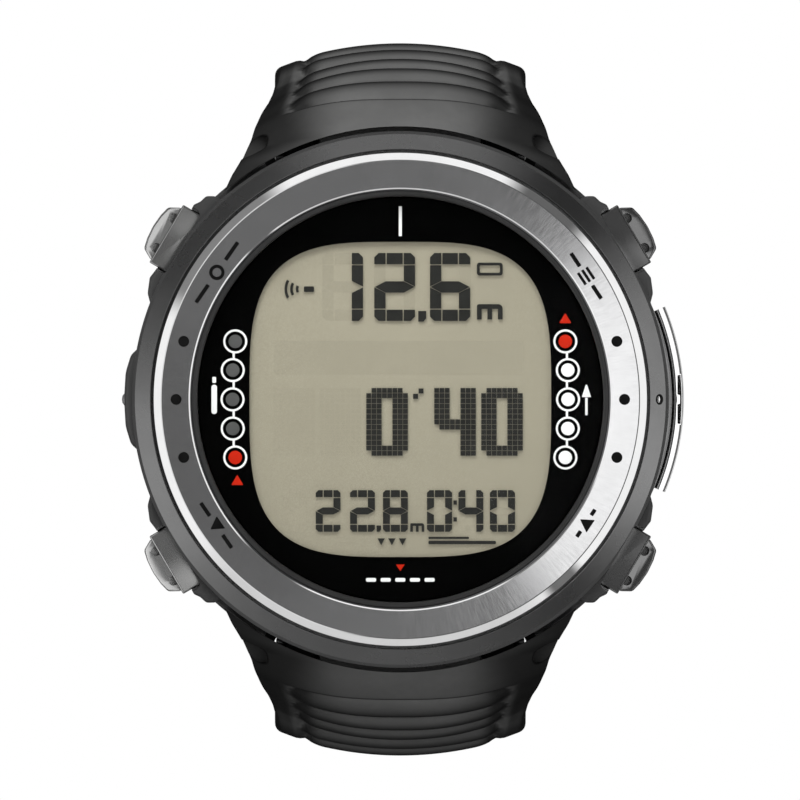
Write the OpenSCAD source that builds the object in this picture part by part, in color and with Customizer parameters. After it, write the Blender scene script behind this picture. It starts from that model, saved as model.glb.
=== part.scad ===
// Wrist dive computer with its strap and buckle, an assembly of separate pieces.
// Millimetres, +Z out of the crystal, +Y towards 12 o'clock, origin at the centre of the
// wrist side face of the case. The buckle half of the strap is at +Y, the tail half at -Y.

/* [Output] */
// Name of the piece to draw, or all of them

/* [Case] */
// Outer radius of the case wall
case_r = 23.85; // [23.8:0.01:23.9]
// Height of the bezel's top face above the wrist side face
total_h = 16; // [16:0.1:17]
// Inner radius of the case cavity
cavity_r = 19.0; // [18.9:0.05:19.05]

/* [Bezel] */
// Outer radius of the bezel ring
bezel_r = 21.9; // [21.6:0.05:21.95]
// Width of the polished chamfer on the bezel's outer edge
bezel_chamfer = 0.8; // [0.4:0.05:1]
// Radius of the round marks on the bezel
bezel_dot_r = 0.48; // [0.3:0.02:0.6]

/* [Display] */
// Half width of the window in the dial mask
window_half_w = 13.4; // [12.8:0.1:13.5]
// Half height of the window in the dial mask
window_half_h = 14.0; // [13.4:0.1:14.1]
// Squareness of the window corners, 2 is an ellipse
window_power = 3.5; // [2.8:0.1:3.8]
// Thickness of the display's dark segments
segment_h = 0.04; // [0.03:0.01:0.08]

/* [Buttons] */
// How far a button cap stands out of its guard at rest
cap_out = 1.24; // [1.1:0.02:1.3]
// Half width of a button cap at its foot
cap_half_w = 2.63; // [2.5:0.01:2.66]
// Radius of a button's stem
stem_r = 0.8; // [0.76:0.01:0.82]

/* [Strap] */
// Width of the strap band
band_w = 22.4; // [21:0.2:22.8]
// Thickness of the strap band
band_t = 3.4; // [3:0.1:3.6]
// Angle of arc of the buckle half's band, degrees
buckle_arc = 61.2; // [60.6:0.1:61.6]
// Angle of arc of the tail half's band, degrees
tail_arc = 44.3; // [40:0.1:45]
// Number of tongue holes in the tail half
tail_holes = 9; // [5:1:10]
// Radius of the tongue holes
tail_hole_r = 1.3; // [1.1:0.05:1.5]

/* [Hidden] */
$fn = 72;

black = [0.03, 0.03, 0.035];
dark = [0.1, 0.1, 0.105];
steel = [0.62, 0.63, 0.64];
brushed = [0.5, 0.5, 0.51];
rubber = [0.07, 0.07, 0.07];
gold = [0.75, 0.6, 0.3];

// Heights. What lies above the board rises with the total height.
lift = total_h - 16;
board_z = 8;                    // underside of the main board
board_t = 0.8;
board_top = board_z + board_t;
lcd_top = 13 + lift;
lcd_t = 1.6;
dial_z = 13.5 + lift;           // printed face of the dial mask
crystal_r = 18;

// Case back and battery hatch
back_seat_r = 22.95;            // recess in the case for the case back
back_seat_z = 1.75;
back_seal_r = 19.95;            // centre lines of the two seals
hatch_seal_r = 14.6;
groove_half_w = 0.5;
back_screw_place_r = 21.6;
back_screw_angles = [25, 155, 205, 335];
bayonet_angles = [0, 120, 240];

// Module inside the case
module_screw_place_r = 16.2;
module_screw_angles = [10, 170, 190, 350];
strip_y = 13.4;                 // zebra strips, centre line
strip_half_l = 9;
strip_half_w = 0.7;
light_half_w = 12.3;            // backlight panel
light_half_h = 11.2;

// Side parts. Buttons, pressure sensor and contact share one height.
side_z = 7.0;
button_x = -20.93;              // foot of the button cap at -X, +Y
button_y = 14.79;
button_angle = 149.5;           // direction of its axis
flank_z = 3.45;                 // bulge at +X and boss at -X of the case
flank_h = 8.1;
sensor_arc_x = 3.9;             // centre of the bulge's and sensor cover's arcs
sensor_arc_r = 20.25;

// Lug pins, and the strap in the Y-Z plane
pin_y = 22.35;
pin_z = 6.5;
lug_x = 8.85;
lug_half_w = 1.3;
lug_r = 1.9;
lug_root_y = 17;
band_z = -4;                    // the band is upright at this height
hood_end_y = 31.6;              // outer face of the band there
mid_y = hood_end_y - band_t / 2;
buckle_bend_r = 45;             // bending radii of the band's middle
tail_bend_r = 110;
bar_r = 0.9;

// ---------- helpers ----------
// The points [x, y], then their mirror images in y in reverse order
function both_sides(points) = concat(
    points,
    [for (i = [len(points) - 1:-1:0]) [points[i][0], -points[i][1]]]);

module flip_x(on) {
    if (on) mirror([1, 0, 0]) children();
    else children();
}
module flip_y(on) {
    if (on) mirror([0, 1, 0]) children();
    else children();
}

module rect(x, y, w, h) {
    translate([x, y]) square([w, h]);
}
module slab(half_x, half_y, z0, z1) {
    translate([-half_x, -half_y, z0]) cube([2 * half_x, 2 * half_y, z1 - z0]);
}
module disc(r, z0, z1) {
    translate([0, 0, z0]) cylinder(r = r, h = z1 - z0);
}
module ring(r0, r1, z0, z1) {
    difference() {
        disc(r1, z0, z1);
        disc(r0, z0 - 1, z1 + 1);
    }
}
// part of a ring with a rectangular section
module arc_block(r0, r1, z0, z1, start, sweep) {
    translate([0, 0, z0]) rotate_extrude(start = start, angle = sweep)
        translate([r0, 0]) square([r1 - r0, z1 - z0]);
}
module torus(ring_r, wire_r) {
    rotate_extrude() translate([ring_r, 0]) circle(r = wire_r, $fn = 24);
}

// round bar, tube and torus about the X axis
module rod_x(r, x0, x1) {
    translate([x0, 0, 0]) rotate([0, 90, 0]) cylinder(r = r, h = x1 - x0);
}
module tube_x(r0, r1, x0, x1) {
    translate([x0, 0, 0]) rotate([0, 90, 0]) ring(r0, r1, 0, x1 - x0);
}
module torus_x(x, ring_r, wire_r) {
    translate([x, 0, 0]) rotate([0, 90, 0]) torus(ring_r, wire_r);
}
// extrudes an outline drawn as (y, z) along +X from x0
module extrude_x(x0, length) {
    translate([x0, 0, 0]) rotate([90, 0, 90]) linear_extrude(length) children();
}

module around(angles, r = 0) {
    for (a = angles) rotate([0, 0, a]) translate([r, 0, 0]) children();
}
module at_back_screws() {
    around(back_screw_angles, back_screw_place_r) children();
}
module at_module_screws() {
    around(module_screw_angles, module_screw_place_r) children();
}
module at_side() {
    translate([0, 0, side_z]) children();
}
module at_pin() {
    translate([0, pin_y, pin_z]) children();
}
// Button frame: +X out along the axis, origin in the cap's foot line.
// side_x, side_y: -1 or 1, the quarter the button is in
module at_button(side_x, side_y) {
    flip_x(side_x > 0) flip_y(side_y < 0)
        translate([button_x, button_y, side_z]) rotate([0, 0, button_angle]) children();
}
module all_buttons() {
    for (side_x = [-1, 1], side_y = [-1, 1]) at_button(side_x, side_y) children();
}

// ---------- case ----------
module case_wall() {
    inner_r = cavity_r - 1.5;
    rotate_extrude() polygon([
        [inner_r, back_seat_z], [back_seat_r, back_seat_z], [back_seat_r, 0.6],
        [23.2, 0.6], [case_r, 1.6], [case_r, 12.7 + lift], [23.6, 12.95 + lift],
        [22.2, 14 + lift], [22.15, 14 + lift], [22.15, 12.15 + lift],
        [inner_r, 12.15 + lift]]);
}
module button_shoulder() {
    translate([0, 0, 3.2 - side_z]) linear_extrude(8.2) polygon([
        [-7.2, -5.15], [-2.2, -5.1], [-1.5, -4.7], [-1.3, -4.0], [-0.95, -3.5],
        [-0.95, 3.3], [-0.85, 4.1], [-1.4, 5.4], [-2.2, 6.2], [-7.2, 6.2]]);
}
// the lug at side -1 or 1 of the strap's knuckle, at 12 o'clock
module lug_block(side) {
    extrude_x(side * lug_x - lug_half_w, 2 * lug_half_w) union() {
        translate([pin_y, pin_z]) circle(r = lug_r);
        rect(lug_root_y, pin_z - lug_r, pin_y - lug_root_y, 2 * lug_r);
    }
}
module sensor_disc(r) {
    translate([sensor_arc_x, 0]) circle(r = r);
}
// bulge behind the pressure sensor, and flat boss of the contact
module flank_bosses() {
    translate([0, 0, flank_z]) linear_extrude(flank_h) intersection() {
        sensor_disc(sensor_arc_r);
        rect(18, -8.3, 8, 16.6);
    }
    translate([0, 0, flank_z]) linear_extrude(flank_h)
        polygon(both_sides([[-18, -4.9], [-23.5, -4.9], [-24.5, -3.7]]));
}
// seat, seal groove and screw holes for the case back
module case_back_cuts() {
    disc(back_seat_r, -1, back_seat_z);
    ring(back_seal_r - groove_half_w, back_seal_r + groove_half_w, 1.5, 2.6);
    at_back_screws() disc(0.52, 1, 3.5);
}
// room for the strap's knuckle, bores for the lug screws and seats for their heads
module strap_cuts() {
    for (f = [0, 1]) flip_y(f == 1) {
        translate([-7.45, 20.2, 3.4]) cube([14.9, 6, 6.2]);
        at_pin() {
            rod_x(0.8, -14, 14);
            for (s = [-1, 1]) translate([s * 11.2, 0, 0]) rod_x(1.12, -1, 1);
        }
    }
}
// pocket and bore for a button guide
module button_cuts() {
    translate([-2.75, -3.05, -3.35]) cube([6, 6.1, 6.7]);
    rod_x(1.87, -8, -2);
}
module case_middle() {
    color(dark) difference() {
        union() {
            case_wall();
            all_buttons() button_shoulder();
            flank_bosses();
            for (f = [0, 1], s = [-1, 1]) flip_y(f == 1) lug_block(s);
        }
        disc(cavity_r, -1, 29);
        case_back_cuts();
        strap_cuts();
        all_buttons() button_cuts();
        // pressure sensor bore and contact bore
        at_side() {
            rod_x(3.2, 17, 26);
            rod_x(0.62, -26, -17);
        }
        // small round hole in the top of the case wall
        translate([23.02, 0, 12.2 + lift]) cylinder(r = 0.3, h = 3, $fn = 24);
    }
}
module case_back() {
    color(steel) difference() {
        union() {
            ring(16.0, 22.9, 0, 1.7);
            ring(12.9, 17.4, 1.6, 2.6);
        }
        // seal groove of the battery cover
        ring(hatch_seal_r - groove_half_w, hatch_seal_r + groove_half_w, 1.5, 2.4);
        // bayonet track: a groove under a lip, and three gaps in the lip
        around(bayonet_angles) {
            arc_block(15.5, 16.65, 0.35, 1.03, -12, 69);
            arc_block(15.5, 16.65, -1, 0.5, 33, 24);
        }
        at_back_screws() {
            disc(1.05, -1, 0.9);
            disc(0.55, 0, 3);
        }
    }
}
module case_back_gasket() {
    color(black) translate([0, 0, 2.13]) torus(back_seal_r, 0.42);
}
module case_back_screws() {
    color(steel) at_back_screws() difference() {
        union() {
            disc(1.0, 0.12, 0.9);
            disc(0.5, 0, 3.3);
        }
        disc(0.45, -0.5, 0.55, $fn = 6);
        disc(0.6, -1, 0.12);
    }
}

// ---------- battery hatch ----------
module battery_cover() {
    color(brushed) difference() {
        union() {
            disc(13.6, 0, 1.3);
            disc(15, 1.1, 1.58);
            disc(12.2, 1.3, 1.9);
        }
        // fine ring groove in the wrist side face
        ring(11.6, 11.9, -0.2, 0.15);
    }
}
module battery_cover_oring() {
    color(black) translate([0, 0, 2.0]) torus(hatch_seal_r, 0.4);
}
module battery_locking_ring() {
    color(steel) difference() {
        union() {
            ring(13.65, 15.95, 0, 1.05);
            around(bayonet_angles) arc_block(15.4, 16.6, 0.42, 0.97, -10, 20);
        }
        // three round blind holes
        around([60, 180, 300], 14.8) disc(0.6, -1, 0.6);
    }
}
module battery_cell() {
    color(steel) union() {
        disc(12.25, 2.0, 6.2);
        disc(11.2, 6.2, 7.0);
    }
}
// upright leaf at the cell's edge, and a leaf with two feet on top of the cell
module battery_contacts() {
    leaf_w = 3.2;
    color(gold) {
        translate([-leaf_w / 2, 12.35, 3.4]) cube([leaf_w, 0.3, 4.6]);
        translate([-leaf_w / 2, -5, 7.0]) union() {
            cube([leaf_w, 9, 0.25]);
            for (y = [0, 7.8]) translate([0, y, 0]) cube([leaf_w, 1.2, 1.0]);
        }
    }
}

// ---------- bezel, crystal and seal ----------
mark_depth = 0.15;
mark_place_r = 19.8;

// Upright frame of a bezel mark. side: 1 on the upper half, -1 on the lower
module at_bezel_mark(angle, side) {
    rotate([0, 0, angle - side * 90]) translate([0, side * mark_place_r]) children();
}
// a dash on each side of a mark, centred at x and -x
module dashes(x, length) {
    for (s = [-1, 1]) rect(s * x - length / 2, -0.17, length, 0.34);
}
module bezel_marks_flat() {
    around([-15, 0, 15, 165, 180, 195], 19.9) circle(r = bezel_dot_r);
    at_bezel_mark(145.3, 1) {
        difference() {
            circle(r = 0.68);
            circle(r = 0.4);
        }
        dashes(2.3, 1.9);
    }
    at_bezel_mark(33.6, 1) {
        for (k = [-1, 0, 1]) rect(-0.62, k * 0.45 - 0.12, 1.24, 0.24);
        dashes(1.72, 1.4);
    }
    at_bezel_mark(214.4, -1) {
        polygon([[-0.66, 0.5], [0.66, 0.5], [0, -0.62]]);
        dashes(1.72, 1.4);
    }
    at_bezel_mark(-33.7, -1) {
        polygon([[-0.66, -0.5], [0.66, -0.5], [0, 0.62]]);
        dashes(1.15, 0.6);
    }
}
module bezel_ring() {
    color(brushed) difference() {
        translate([0, 0, lift]) rotate_extrude() polygon([
            [17.2, 12.2], [bezel_r, 12.2], [bezel_r, 16 - bezel_chamfer],
            [bezel_r - bezel_chamfer, 16], [18.7, 16], [18.55, 15.85],
            [18.55, 13.1], [17.2, 13.1]]);
        translate([0, 0, total_h - mark_depth]) linear_extrude(1) bezel_marks_flat();
    }
}
module bezel_marks() {
    color(black) translate([0, 0, total_h - mark_depth])
        linear_extrude(mark_depth) bezel_marks_flat();
}
module crystal() {
    color([0.75, 0.8, 0.82, 0.3]) translate([0, 0, lift]) rotate_extrude() polygon([
        [0, 13.6], [crystal_r, 13.6], [crystal_r, 15.4], [crystal_r - 0.3, 15.7], [0, 15.7]]);
}
module crystal_gasket() {
    inner_r = crystal_r + 0.02;
    color(dark) translate([0, 0, lift]) rotate_extrude() polygon([
        [inner_r, 13.12], [18.53, 13.12], [18.53, 15.8], [18.4, 15.88], [inner_r, 15.82]]);
}

// ---------- dial ----------
mask_t = 0.38;
// centres of the five round indicators on each side, from the top down
indicator_x = [14.66, 14.88, 14.9, 14.88, 14.66];
indicator_y = [5.15, 2.6, 0, -2.59, -5.16];

function signed_power(v, p) = (v < 0 ? -1 : 1) * pow(abs(v), p);
function superellipse(half_w, half_h, power) = [for (a = [0:6:354])
    [half_w * signed_power(cos(a), 2 / power), half_h * signed_power(sin(a), 2 / power)]];

module dial_mask() {
    color(black) translate([0, 0, dial_z - mask_t]) linear_extrude(mask_t) difference() {
        circle(r = crystal_r);
        polygon(superellipse(window_half_w, window_half_h, window_power));
    }
}
module dial_print() {
    translate([0, 0, dial_z]) linear_extrude(0.05) children();
}
module at_indicator(side, k) {
    translate([side * indicator_x[k], indicator_y[k]]) children();
}
module indicator_dot(side, k) {
    at_indicator(side, k) circle(r = 0.62, $fn = 32);
}
module dial_marks_white_flat() {
    rect(-0.14, 14.5, 0.28, 2.65);
    // rings around the indicators and dashes between them
    for (s = [-1, 1]) {
        for (k = [0:4]) at_indicator(s, k) difference() {
            circle(r = 1.08, $fn = 32);
            circle(r = 0.87, $fn = 32);
        }
        for (k = [0:3])
            rect(s * 14.8 - 0.1, (indicator_y[k] + indicator_y[k + 1]) / 2 - 0.26, 0.2, 0.52);
    }
    for (k = [1:4]) indicator_dot(1, k);
    // row of short strokes at the bottom
    for (k = [-2:2]) rect(k * 1.3 - 0.45, -16.2, 0.9, 0.34);
    // bottle at -X
    rect(-16.78, -1.3, 0.5, 2.6);
    rect(-16.7, 1.5, 0.34, 0.5);
    // arrow at +X
    translate([16.53, 0]) polygon([[-0.42, 0.2], [0.42, 0.2], [0, 1.5]]);
    rect(16.41, -1.4, 0.24, 1.5);
}
module dial_marks_red_flat() {
    polygon([[-0.38, -14.72], [0.38, -14.72], [0, -15.22]]);
    indicator_dot(1, 0);
    indicator_dot(-1, 4);
    for (place = [[14.65, 7.19], [-14.48, -7.19]])
        translate(place) polygon([[-0.55, -0.42], [0.55, -0.42], [0, 0.5]]);
}
module dial_marks_white() {
    color([0.9, 0.9, 0.9]) dial_print() dial_marks_white_flat();
}
module dial_marks_red() {
    color([0.75, 0.16, 0.1]) dial_print() dial_marks_red_flat();
}
module dial_indicators_grey() {
    color([0.3, 0.3, 0.3]) dial_print() for (k = [0:3]) indicator_dot(-1, k);
}

// ---------- display ----------
module lcd_glass() {
    color([0.63, 0.61, 0.52]) translate([0, 0, lcd_top - lcd_t]) linear_extrude(lcd_t)
        polygon(both_sides([[-14, -9.4], [-8.8, -14.6], [8.8, -14.6], [14, -9.4]]));
}

// Lit strokes of a seven segment figure:
// top, upper right, lower right, bottom, lower left, upper left, middle
fig0 = [1, 1, 1, 1, 1, 1, 0];
fig1 = [0, 1, 1, 0, 0, 0, 0];
fig2 = [1, 1, 0, 1, 1, 0, 1];
fig4 = [0, 1, 1, 0, 0, 1, 1];
fig6 = [1, 0, 1, 1, 1, 1, 1];
fig8 = [1, 1, 1, 1, 1, 1, 1];
// Figures of a row: left edge, width, lit strokes
top_row = [[-6.93, 3.69, fig1], [-2.26, 3.69, fig2], [2.67, 3.64, fig6]];
bottom_row = [
    [-7.42, 2.17, fig2], [-4.41, 2.17, fig2], [-1.47, 2.2, fig8],
    [2.44, 2.2, fig0], [5.23, 2.18, fig4], [8.04, 2.2, fig0]];
bottom_row_y = -11.73;

// pointed strokes of thickness t, from their end point at x, y
module stroke_h(x, y, length, t) {
    end = x + length;
    polygon([
        [x, y], [x + t / 2, y + t / 2], [end - t / 2, y + t / 2],
        [end, y], [end - t / 2, y - t / 2], [x + t / 2, y - t / 2]]);
}
module stroke_v(x, y, length, t) {
    end = y + length;
    polygon([
        [x, y], [x + t / 2, y + t / 2], [x + t / 2, end - t / 2],
        [x, end], [x - t / 2, end - t / 2], [x - t / 2, y + t / 2]]);
}
module figure7(x, y, w, h, t, lit) {
    gap = 0.06;
    left = x + t / 2;
    right = x + w - t / 2;
    bottom = y + t / 2;
    middle = y + h / 2;
    top = y + h - t / 2;
    across = right - left - 2 * gap;
    upper = top - middle - 2 * gap;
    lower = middle - bottom - 2 * gap;
    if (lit[0] == 1) stroke_h(left + gap, top, across, t);
    if (lit[1] == 1) stroke_v(right, middle + gap, upper, t);
    if (lit[2] == 1) stroke_v(right, bottom + gap, lower, t);
    if (lit[3] == 1) stroke_h(left + gap, bottom, across, t);
    if (lit[4] == 1) stroke_v(left, bottom + gap, lower, t);
    if (lit[5] == 1) stroke_v(left, middle + gap, upper, t);
    if (lit[6] == 1) stroke_h(left + gap, middle, across, t);
}
module figure_row(row, y, h, t) {
    for (f = row) figure7(f[0], y, f[1], h, t, f[2]);
}

// block figures of the middle row, drawn on a grid of square cells
cell = 0.465;
module cells(x, y, w, h) {
    rect(x * cell, y * cell, w * cell, h * cell);
}
module block0() {
    difference() {
        cells(0, 0, 8, 13);
        cells(2, 2, 4, 9);
        for (x = [0, 7], y = [0, 12]) cells(x, y, 1, 1);
    }
}
module block4() {
    cells(5, 0, 2, 13);
    cells(0, 3, 8, 2);
    cells(0, 4, 2, 3.5);
    cells(1, 7, 1.5, 2);
    cells(2, 8.5, 1.5, 2);
    cells(3, 10, 2.5, 3);
}
// small letter m with square corners
module small_m(x, y, w, h, t) {
    for (leg = [0, w / 2 - t / 2, w - t]) rect(x + leg, y, t, h);
    rect(x, y + h - t, w, t);
}
module lcd_top_row() {
    figure_row(top_row, 6.97, 6.04, 0.95);
    rect(1.64, 6.92, 0.7, 0.95);
    small_m(6.88, 7.1, 2.2, 1.4, 0.4);
    translate([6.8, 11.0]) difference() {
        square([2.3, 1.15]);
        rect(0.3, 0.3, 1.7, 0.55);
    }
    // three arcs opening towards -X, and a dash
    translate([-8.7, 9.75]) intersection() {
        for (r = [0.7, 1.3, 1.9]) difference() {
            circle(r = r + 0.13);
            circle(r = r - 0.13);
        }
        polygon([[0, 0], [-3, 1.6], [-3, -1.6]]);
    }
    rect(-8.3, 9.6, 0.8, 0.3);
}
module lcd_middle_row() {
    for (x = [-2.98, 7.22]) translate([x, -5.02]) block0();
    translate([3.05, -5.02]) block4();
    for (k = [0, 1]) rect(1.2 + k * 0.48, 0.13, 0.44, 0.89);
}
module lcd_bottom_row() {
    figure_row(bottom_row, bottom_row_y, 3.69, 0.6);
    rect(-2.1, -11.75, 0.4, 0.6);
    small_m(0.93, bottom_row_y, 1.2, 0.72, 0.22);
    for (y = [-9.35, -10.8]) rect(4.78, y, 0.34, 0.36);
    // plain signs under the row
    for (k = [-1, 0, 1]) translate([-0.75 + k * 0.95, -12.62])
        polygon([[-0.35, 0.3], [0.35, 0.3], [0, -0.35]]);
    rect(2.5, -12.85, 6, 0.3);
    rect(2.5, -12.4, 3.6, 0.2);
}
module lcd_segments() {
    color([0.12, 0.12, 0.12]) translate([0, 0, lcd_top]) linear_extrude(segment_h) {
        lcd_top_row();
        lcd_middle_row();
        lcd_bottom_row();
    }
}
module backlight_panel() {
    color([0.8, 0.85, 0.8]) slab(light_half_w, light_half_h, 10.75 + lift, 11.35 + lift);
}

// ---------- module ----------
module module_frame() {
    color([0.85, 0.85, 0.82]) difference() {
        union() {
            disc(18.3, 8.85, 11.35 + lift);
            ring(17.4, 18.3, 11.3 + lift, 12.1 + lift);
        }
        // backlight pocket, opening over the board, strip slots and screw holes
        slab(light_half_w + 0.1, light_half_h + 0.1, 10.7 + lift, 12.7 + lift);
        slab(10.5, 9.5, 8, 10);
        for (s = [-1, 1]) translate([0, s * strip_y, 0])
            slab(strip_half_l + 0.1, strip_half_w + 0.05, 8, 13 + lift);
        at_module_screws() disc(0.62, 8, 10.5);
    }
}
// from the board up to the glass
module zebra_strips() {
    color([0.35, 0.35, 0.4]) for (s = [-1, 1]) translate([0, s * strip_y, 0])
        slab(strip_half_l, strip_half_w, board_top, lcd_top - lcd_t);
}
module main_board() {
    color([0.05, 0.28, 0.16]) difference() {
        disc(17.4, board_z, board_top);
        at_module_screws() disc(0.7, 7, 10);
    }
}
// components on top of the board: corner [x, y], size [x, y, z]
top_components = [
    [[-3.5, -3.5], [7, 7, 1]],
    [[5, -2.5], [4, 5, 0.9]],
    [[-9, 1], [3.2, 3.2, 0.7]],
    [[-8.5, -6], [2.2, 4, 0.8]],
    [[3.5, 5.5], [3, 2, 0.8]]];
module board_components() {
    color(black) {
        for (c = top_components) translate([c[0][0], c[0][1], board_top]) cube(c[1]);
        // small parts under the board's edge
        around([58, 68, 112, 122, 238, 302])
            translate([14.2, -0.6, board_z - 0.8]) cube([2.0, 1.2, 0.8]);
    }
}
module at_antenna() {
    translate([0, -15.6, 6.4]) children();
}
module antenna_core() {
    color([0.2, 0.2, 0.22]) at_antenna() rod_x(1.15, -5.5, 5.5);
}
module antenna_coil() {
    color([0.7, 0.35, 0.15]) at_antenna() tube_x(1.16, 1.55, -4, 4);
}
// slotted heads under the board
module module_screws() {
    color(steel) at_module_screws() difference() {
        union() {
            disc(1.0, 7.25, board_z);
            disc(0.6, 7.9, 10.3);
        }
        slab(1.2, 0.14, 7, 7.6);
    }
}
module button_contacts() {
    color(gold) all_buttons() union() {
        translate([-8.6, -1.4, -1.4]) cube([0.2, 2.8, 2.4]);
        translate([-10.4, -1.4, 0.8]) cube([2, 2.8, 0.2]);
    }
}
module buzzer_disc() {
    color(gold) translate([0, 15.9, 2.6]) union() {
        disc(2.9, 0, 0.3);
        disc(2.1, 0.3, 0.55);
    }
}

// ---------- pressure sensor and contact ----------
// body with two flanges that hold the seal between them, recessed at its outer end
module depth_sensor() {
    color(steel) at_side() difference() {
        union() {
            rod_x(2.58, 18.4, 22.6);
            rod_x(3.15, 18.6, 19.8);
            rod_x(3.15, 20.7, 21.3);
        }
        rod_x(1.9, 22.1, 23);
    }
}
module depth_sensor_oring() {
    color(black) at_side() torus_x(20.25, 2.9, 0.3);
}
module sensor_cover() {
    color([0.8, 0.81, 0.82]) difference() {
        translate([0, 0, 4]) linear_extrude(7) intersection() {
            difference() {
                sensor_disc(21.3);
                sensor_disc(sensor_arc_r + 0.02);
            }
            rect(18, -8.2, 8, 16.4);
        }
        // water port: a crescent slot open at the rim, with a small tab in its middle
        translate([0, 0, 6]) linear_extrude(8) difference() {
            intersection() {
                sensor_disc(21.12);
                rect(24.62, -2.3, 2, 4.6);
            }
            rect(24.5, -0.45, 0.3, 0.9);
        }
        at_side() rod_x(0.7, 23, 24.9);
    }
}
module contact_pin() {
    color(steel) at_side() union() {
        rod_x(0.6, -24.73, -18.2);
        rod_x(1.2, -18.75, -18.2);
    }
}

// ---------- buttons, in the button frame ----------
cap_foot_x = -0.95;
// half outlines of the cap: [along the axis, across]
cap_plan = [
    [cap_foot_x, -cap_half_w], [0, -cap_half_w], [cap_out - 0.32, -2.1],
    [cap_out - 0.1, -1.2], [cap_out, -0.4]];
cap_side = [[cap_foot_x, -2.45], [0, -2.45], [cap_out - 0.32, -1.95], [cap_out, -0.9]];

module guide_solid() {
    difference() {
        union() {
            translate([-2.7, -3.0, -3.3]) cube([2.58, 5.95, 6.6]);
            rod_x(1.85, -6.5, -2.6);
        }
        // cap pocket, stem bore, spring room and O-ring groove
        translate([-1.95, -2.75, -2.57]) cube([3, 5.5, 5.14]);
        rod_x(stem_r + 0.05, -8, 0);
        rod_x(1.5, -3.9, -1.9);
        rod_x(1.45, -5.35, -4.75);
    }
}
module cap_solid() {
    intersection() {
        translate([0, 0, -5]) linear_extrude(10) polygon(both_sides(cap_plan));
        rotate([-90, 0, 0]) translate([0, 0, -5])
            linear_extrude(10) polygon(both_sides(cap_side));
    }
}
module button_solid() {
    difference() {
        union() {
            cap_solid();
            rod_x(stem_r, -7.4, -0.9);
        }
        // round notches through the cap at its foot line
        for (s = [-1, 1]) translate([0, s * 1.53, -4]) cylinder(r = 0.45, h = 8, $fn = 24);
        // clip groove
        tube_x(0.6, 1.2, -6.95, -6.6);
    }
}
// spring of four closed rings
module spring_solid() {
    for (k = [0:3]) torus_x(-3.72 + k * 0.84, 1.2, 0.17);
}
module clip_solid() {
    translate([-6.92, 0, 0]) rotate([0, 90, 0]) linear_extrude(0.29) difference() {
        circle(r = 1.45);
        circle(r = 0.61);
        rect(0, -0.45, 3, 0.9);
    }
}
module button_guides() {
    color([0.23, 0.23, 0.24]) all_buttons() guide_solid();
}
module button_orings() {
    color(black) all_buttons() torus_x(-5.05, stem_r + 0.35, 0.3);
}
module button_select() { color(steel) at_button(-1, 1) button_solid(); }
module button_mode() { color(steel) at_button(1, 1) button_solid(); }
module button_down() { color(steel) at_button(-1, -1) button_solid(); }
module button_up() { color(steel) at_button(1, -1) button_solid(); }
module spring_select() { color(brushed) at_button(-1, 1) spring_solid(); }
module spring_mode() { color(brushed) at_button(1, 1) spring_solid(); }
module spring_down() { color(brushed) at_button(-1, -1) spring_solid(); }
module spring_up() { color(brushed) at_button(1, -1) spring_solid(); }
module clip_select() { color(brushed) at_button(-1, 1) clip_solid(); }
module clip_mode() { color(brushed) at_button(1, 1) clip_solid(); }
module clip_down() { color(brushed) at_button(-1, -1) clip_solid(); }
module clip_up() { color(brushed) at_button(1, -1) clip_solid(); }

// ---------- strap ----------
// Hood seen from above: [distance from the centre, half width]
hood_plan = [
    [18.5, 15.75], [18.9, 15.5], [20, 15], [21, 14.4], [22.1, 13.8], [23.1, 13.2],
    [24.2, 12.7], [25.3, 12.26], [26.3, 11.8], [27.4, 11.46], [28.5, band_w / 2],
    [34, band_w / 2]];
// Hood seen from the side, [y, z]: outer line down to the band, inner line back up
hood_outer = [
    [18, 12.5], [22, 12.4], [23.5, 12.05], [24.8, 11.2], [26.6, 9.1], [27.6, 7.6],
    [28.6, 5.7], [29.5, 3.4], [30.4, 0.2], [31.15, -2.2], [hood_end_y, band_z]];
hood_inner = [
    [hood_end_y - band_t, band_z], [27.7, -2], [26.7, 0.5], [25.5, 3], [24.2, 4.5],
    [pin_y, pin_z - 1.95], [pin_y - 1.7, pin_z - 0.96], [pin_y - 1.95, pin_z],
    [pin_y - 1.95, pin_z + 1.5], [20, 8.6], [18, 8.6]];
hood_crown_r = 29.5;
// Band section: [out from the middle of the band, across], one half
band_in = -band_t / 2;
band_out = band_t / 2;
band_edge = -band_w / 2;
band_section = [
    [band_in, band_edge + 0.6], [band_in + 0.5, band_edge],
    [band_out - 2.9, band_edge], [band_out - 2.2, band_edge + 0.3],
    [band_out - 1.6, band_edge + 1.0], [band_out - 1.1, band_edge + 2.4],
    [band_out - 0.6, band_edge + 4.7], [band_out - 0.25, band_edge + 7],
    [band_out, band_edge + 9.6]];

// point on the band's middle line at arc angle a, for bending radius r
function band_point(r, a) = [0, mid_y - r + r * cos(a), band_z - r * sin(a)];

// sweeps a section about the band's bending axis from arc angle a0 to a1
module band_sweep(r, a0, a1) {
    translate([0, mid_y - r, band_z]) rotate([0, 90, 0])
        rotate_extrude(start = 90 - a1, angle = a1 - a0) children();
}
module band(r, arc) {
    band_sweep(r, 0, arc) polygon([for (p = both_sides(band_section)) [r + p[0], p[1]]]);
}
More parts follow.
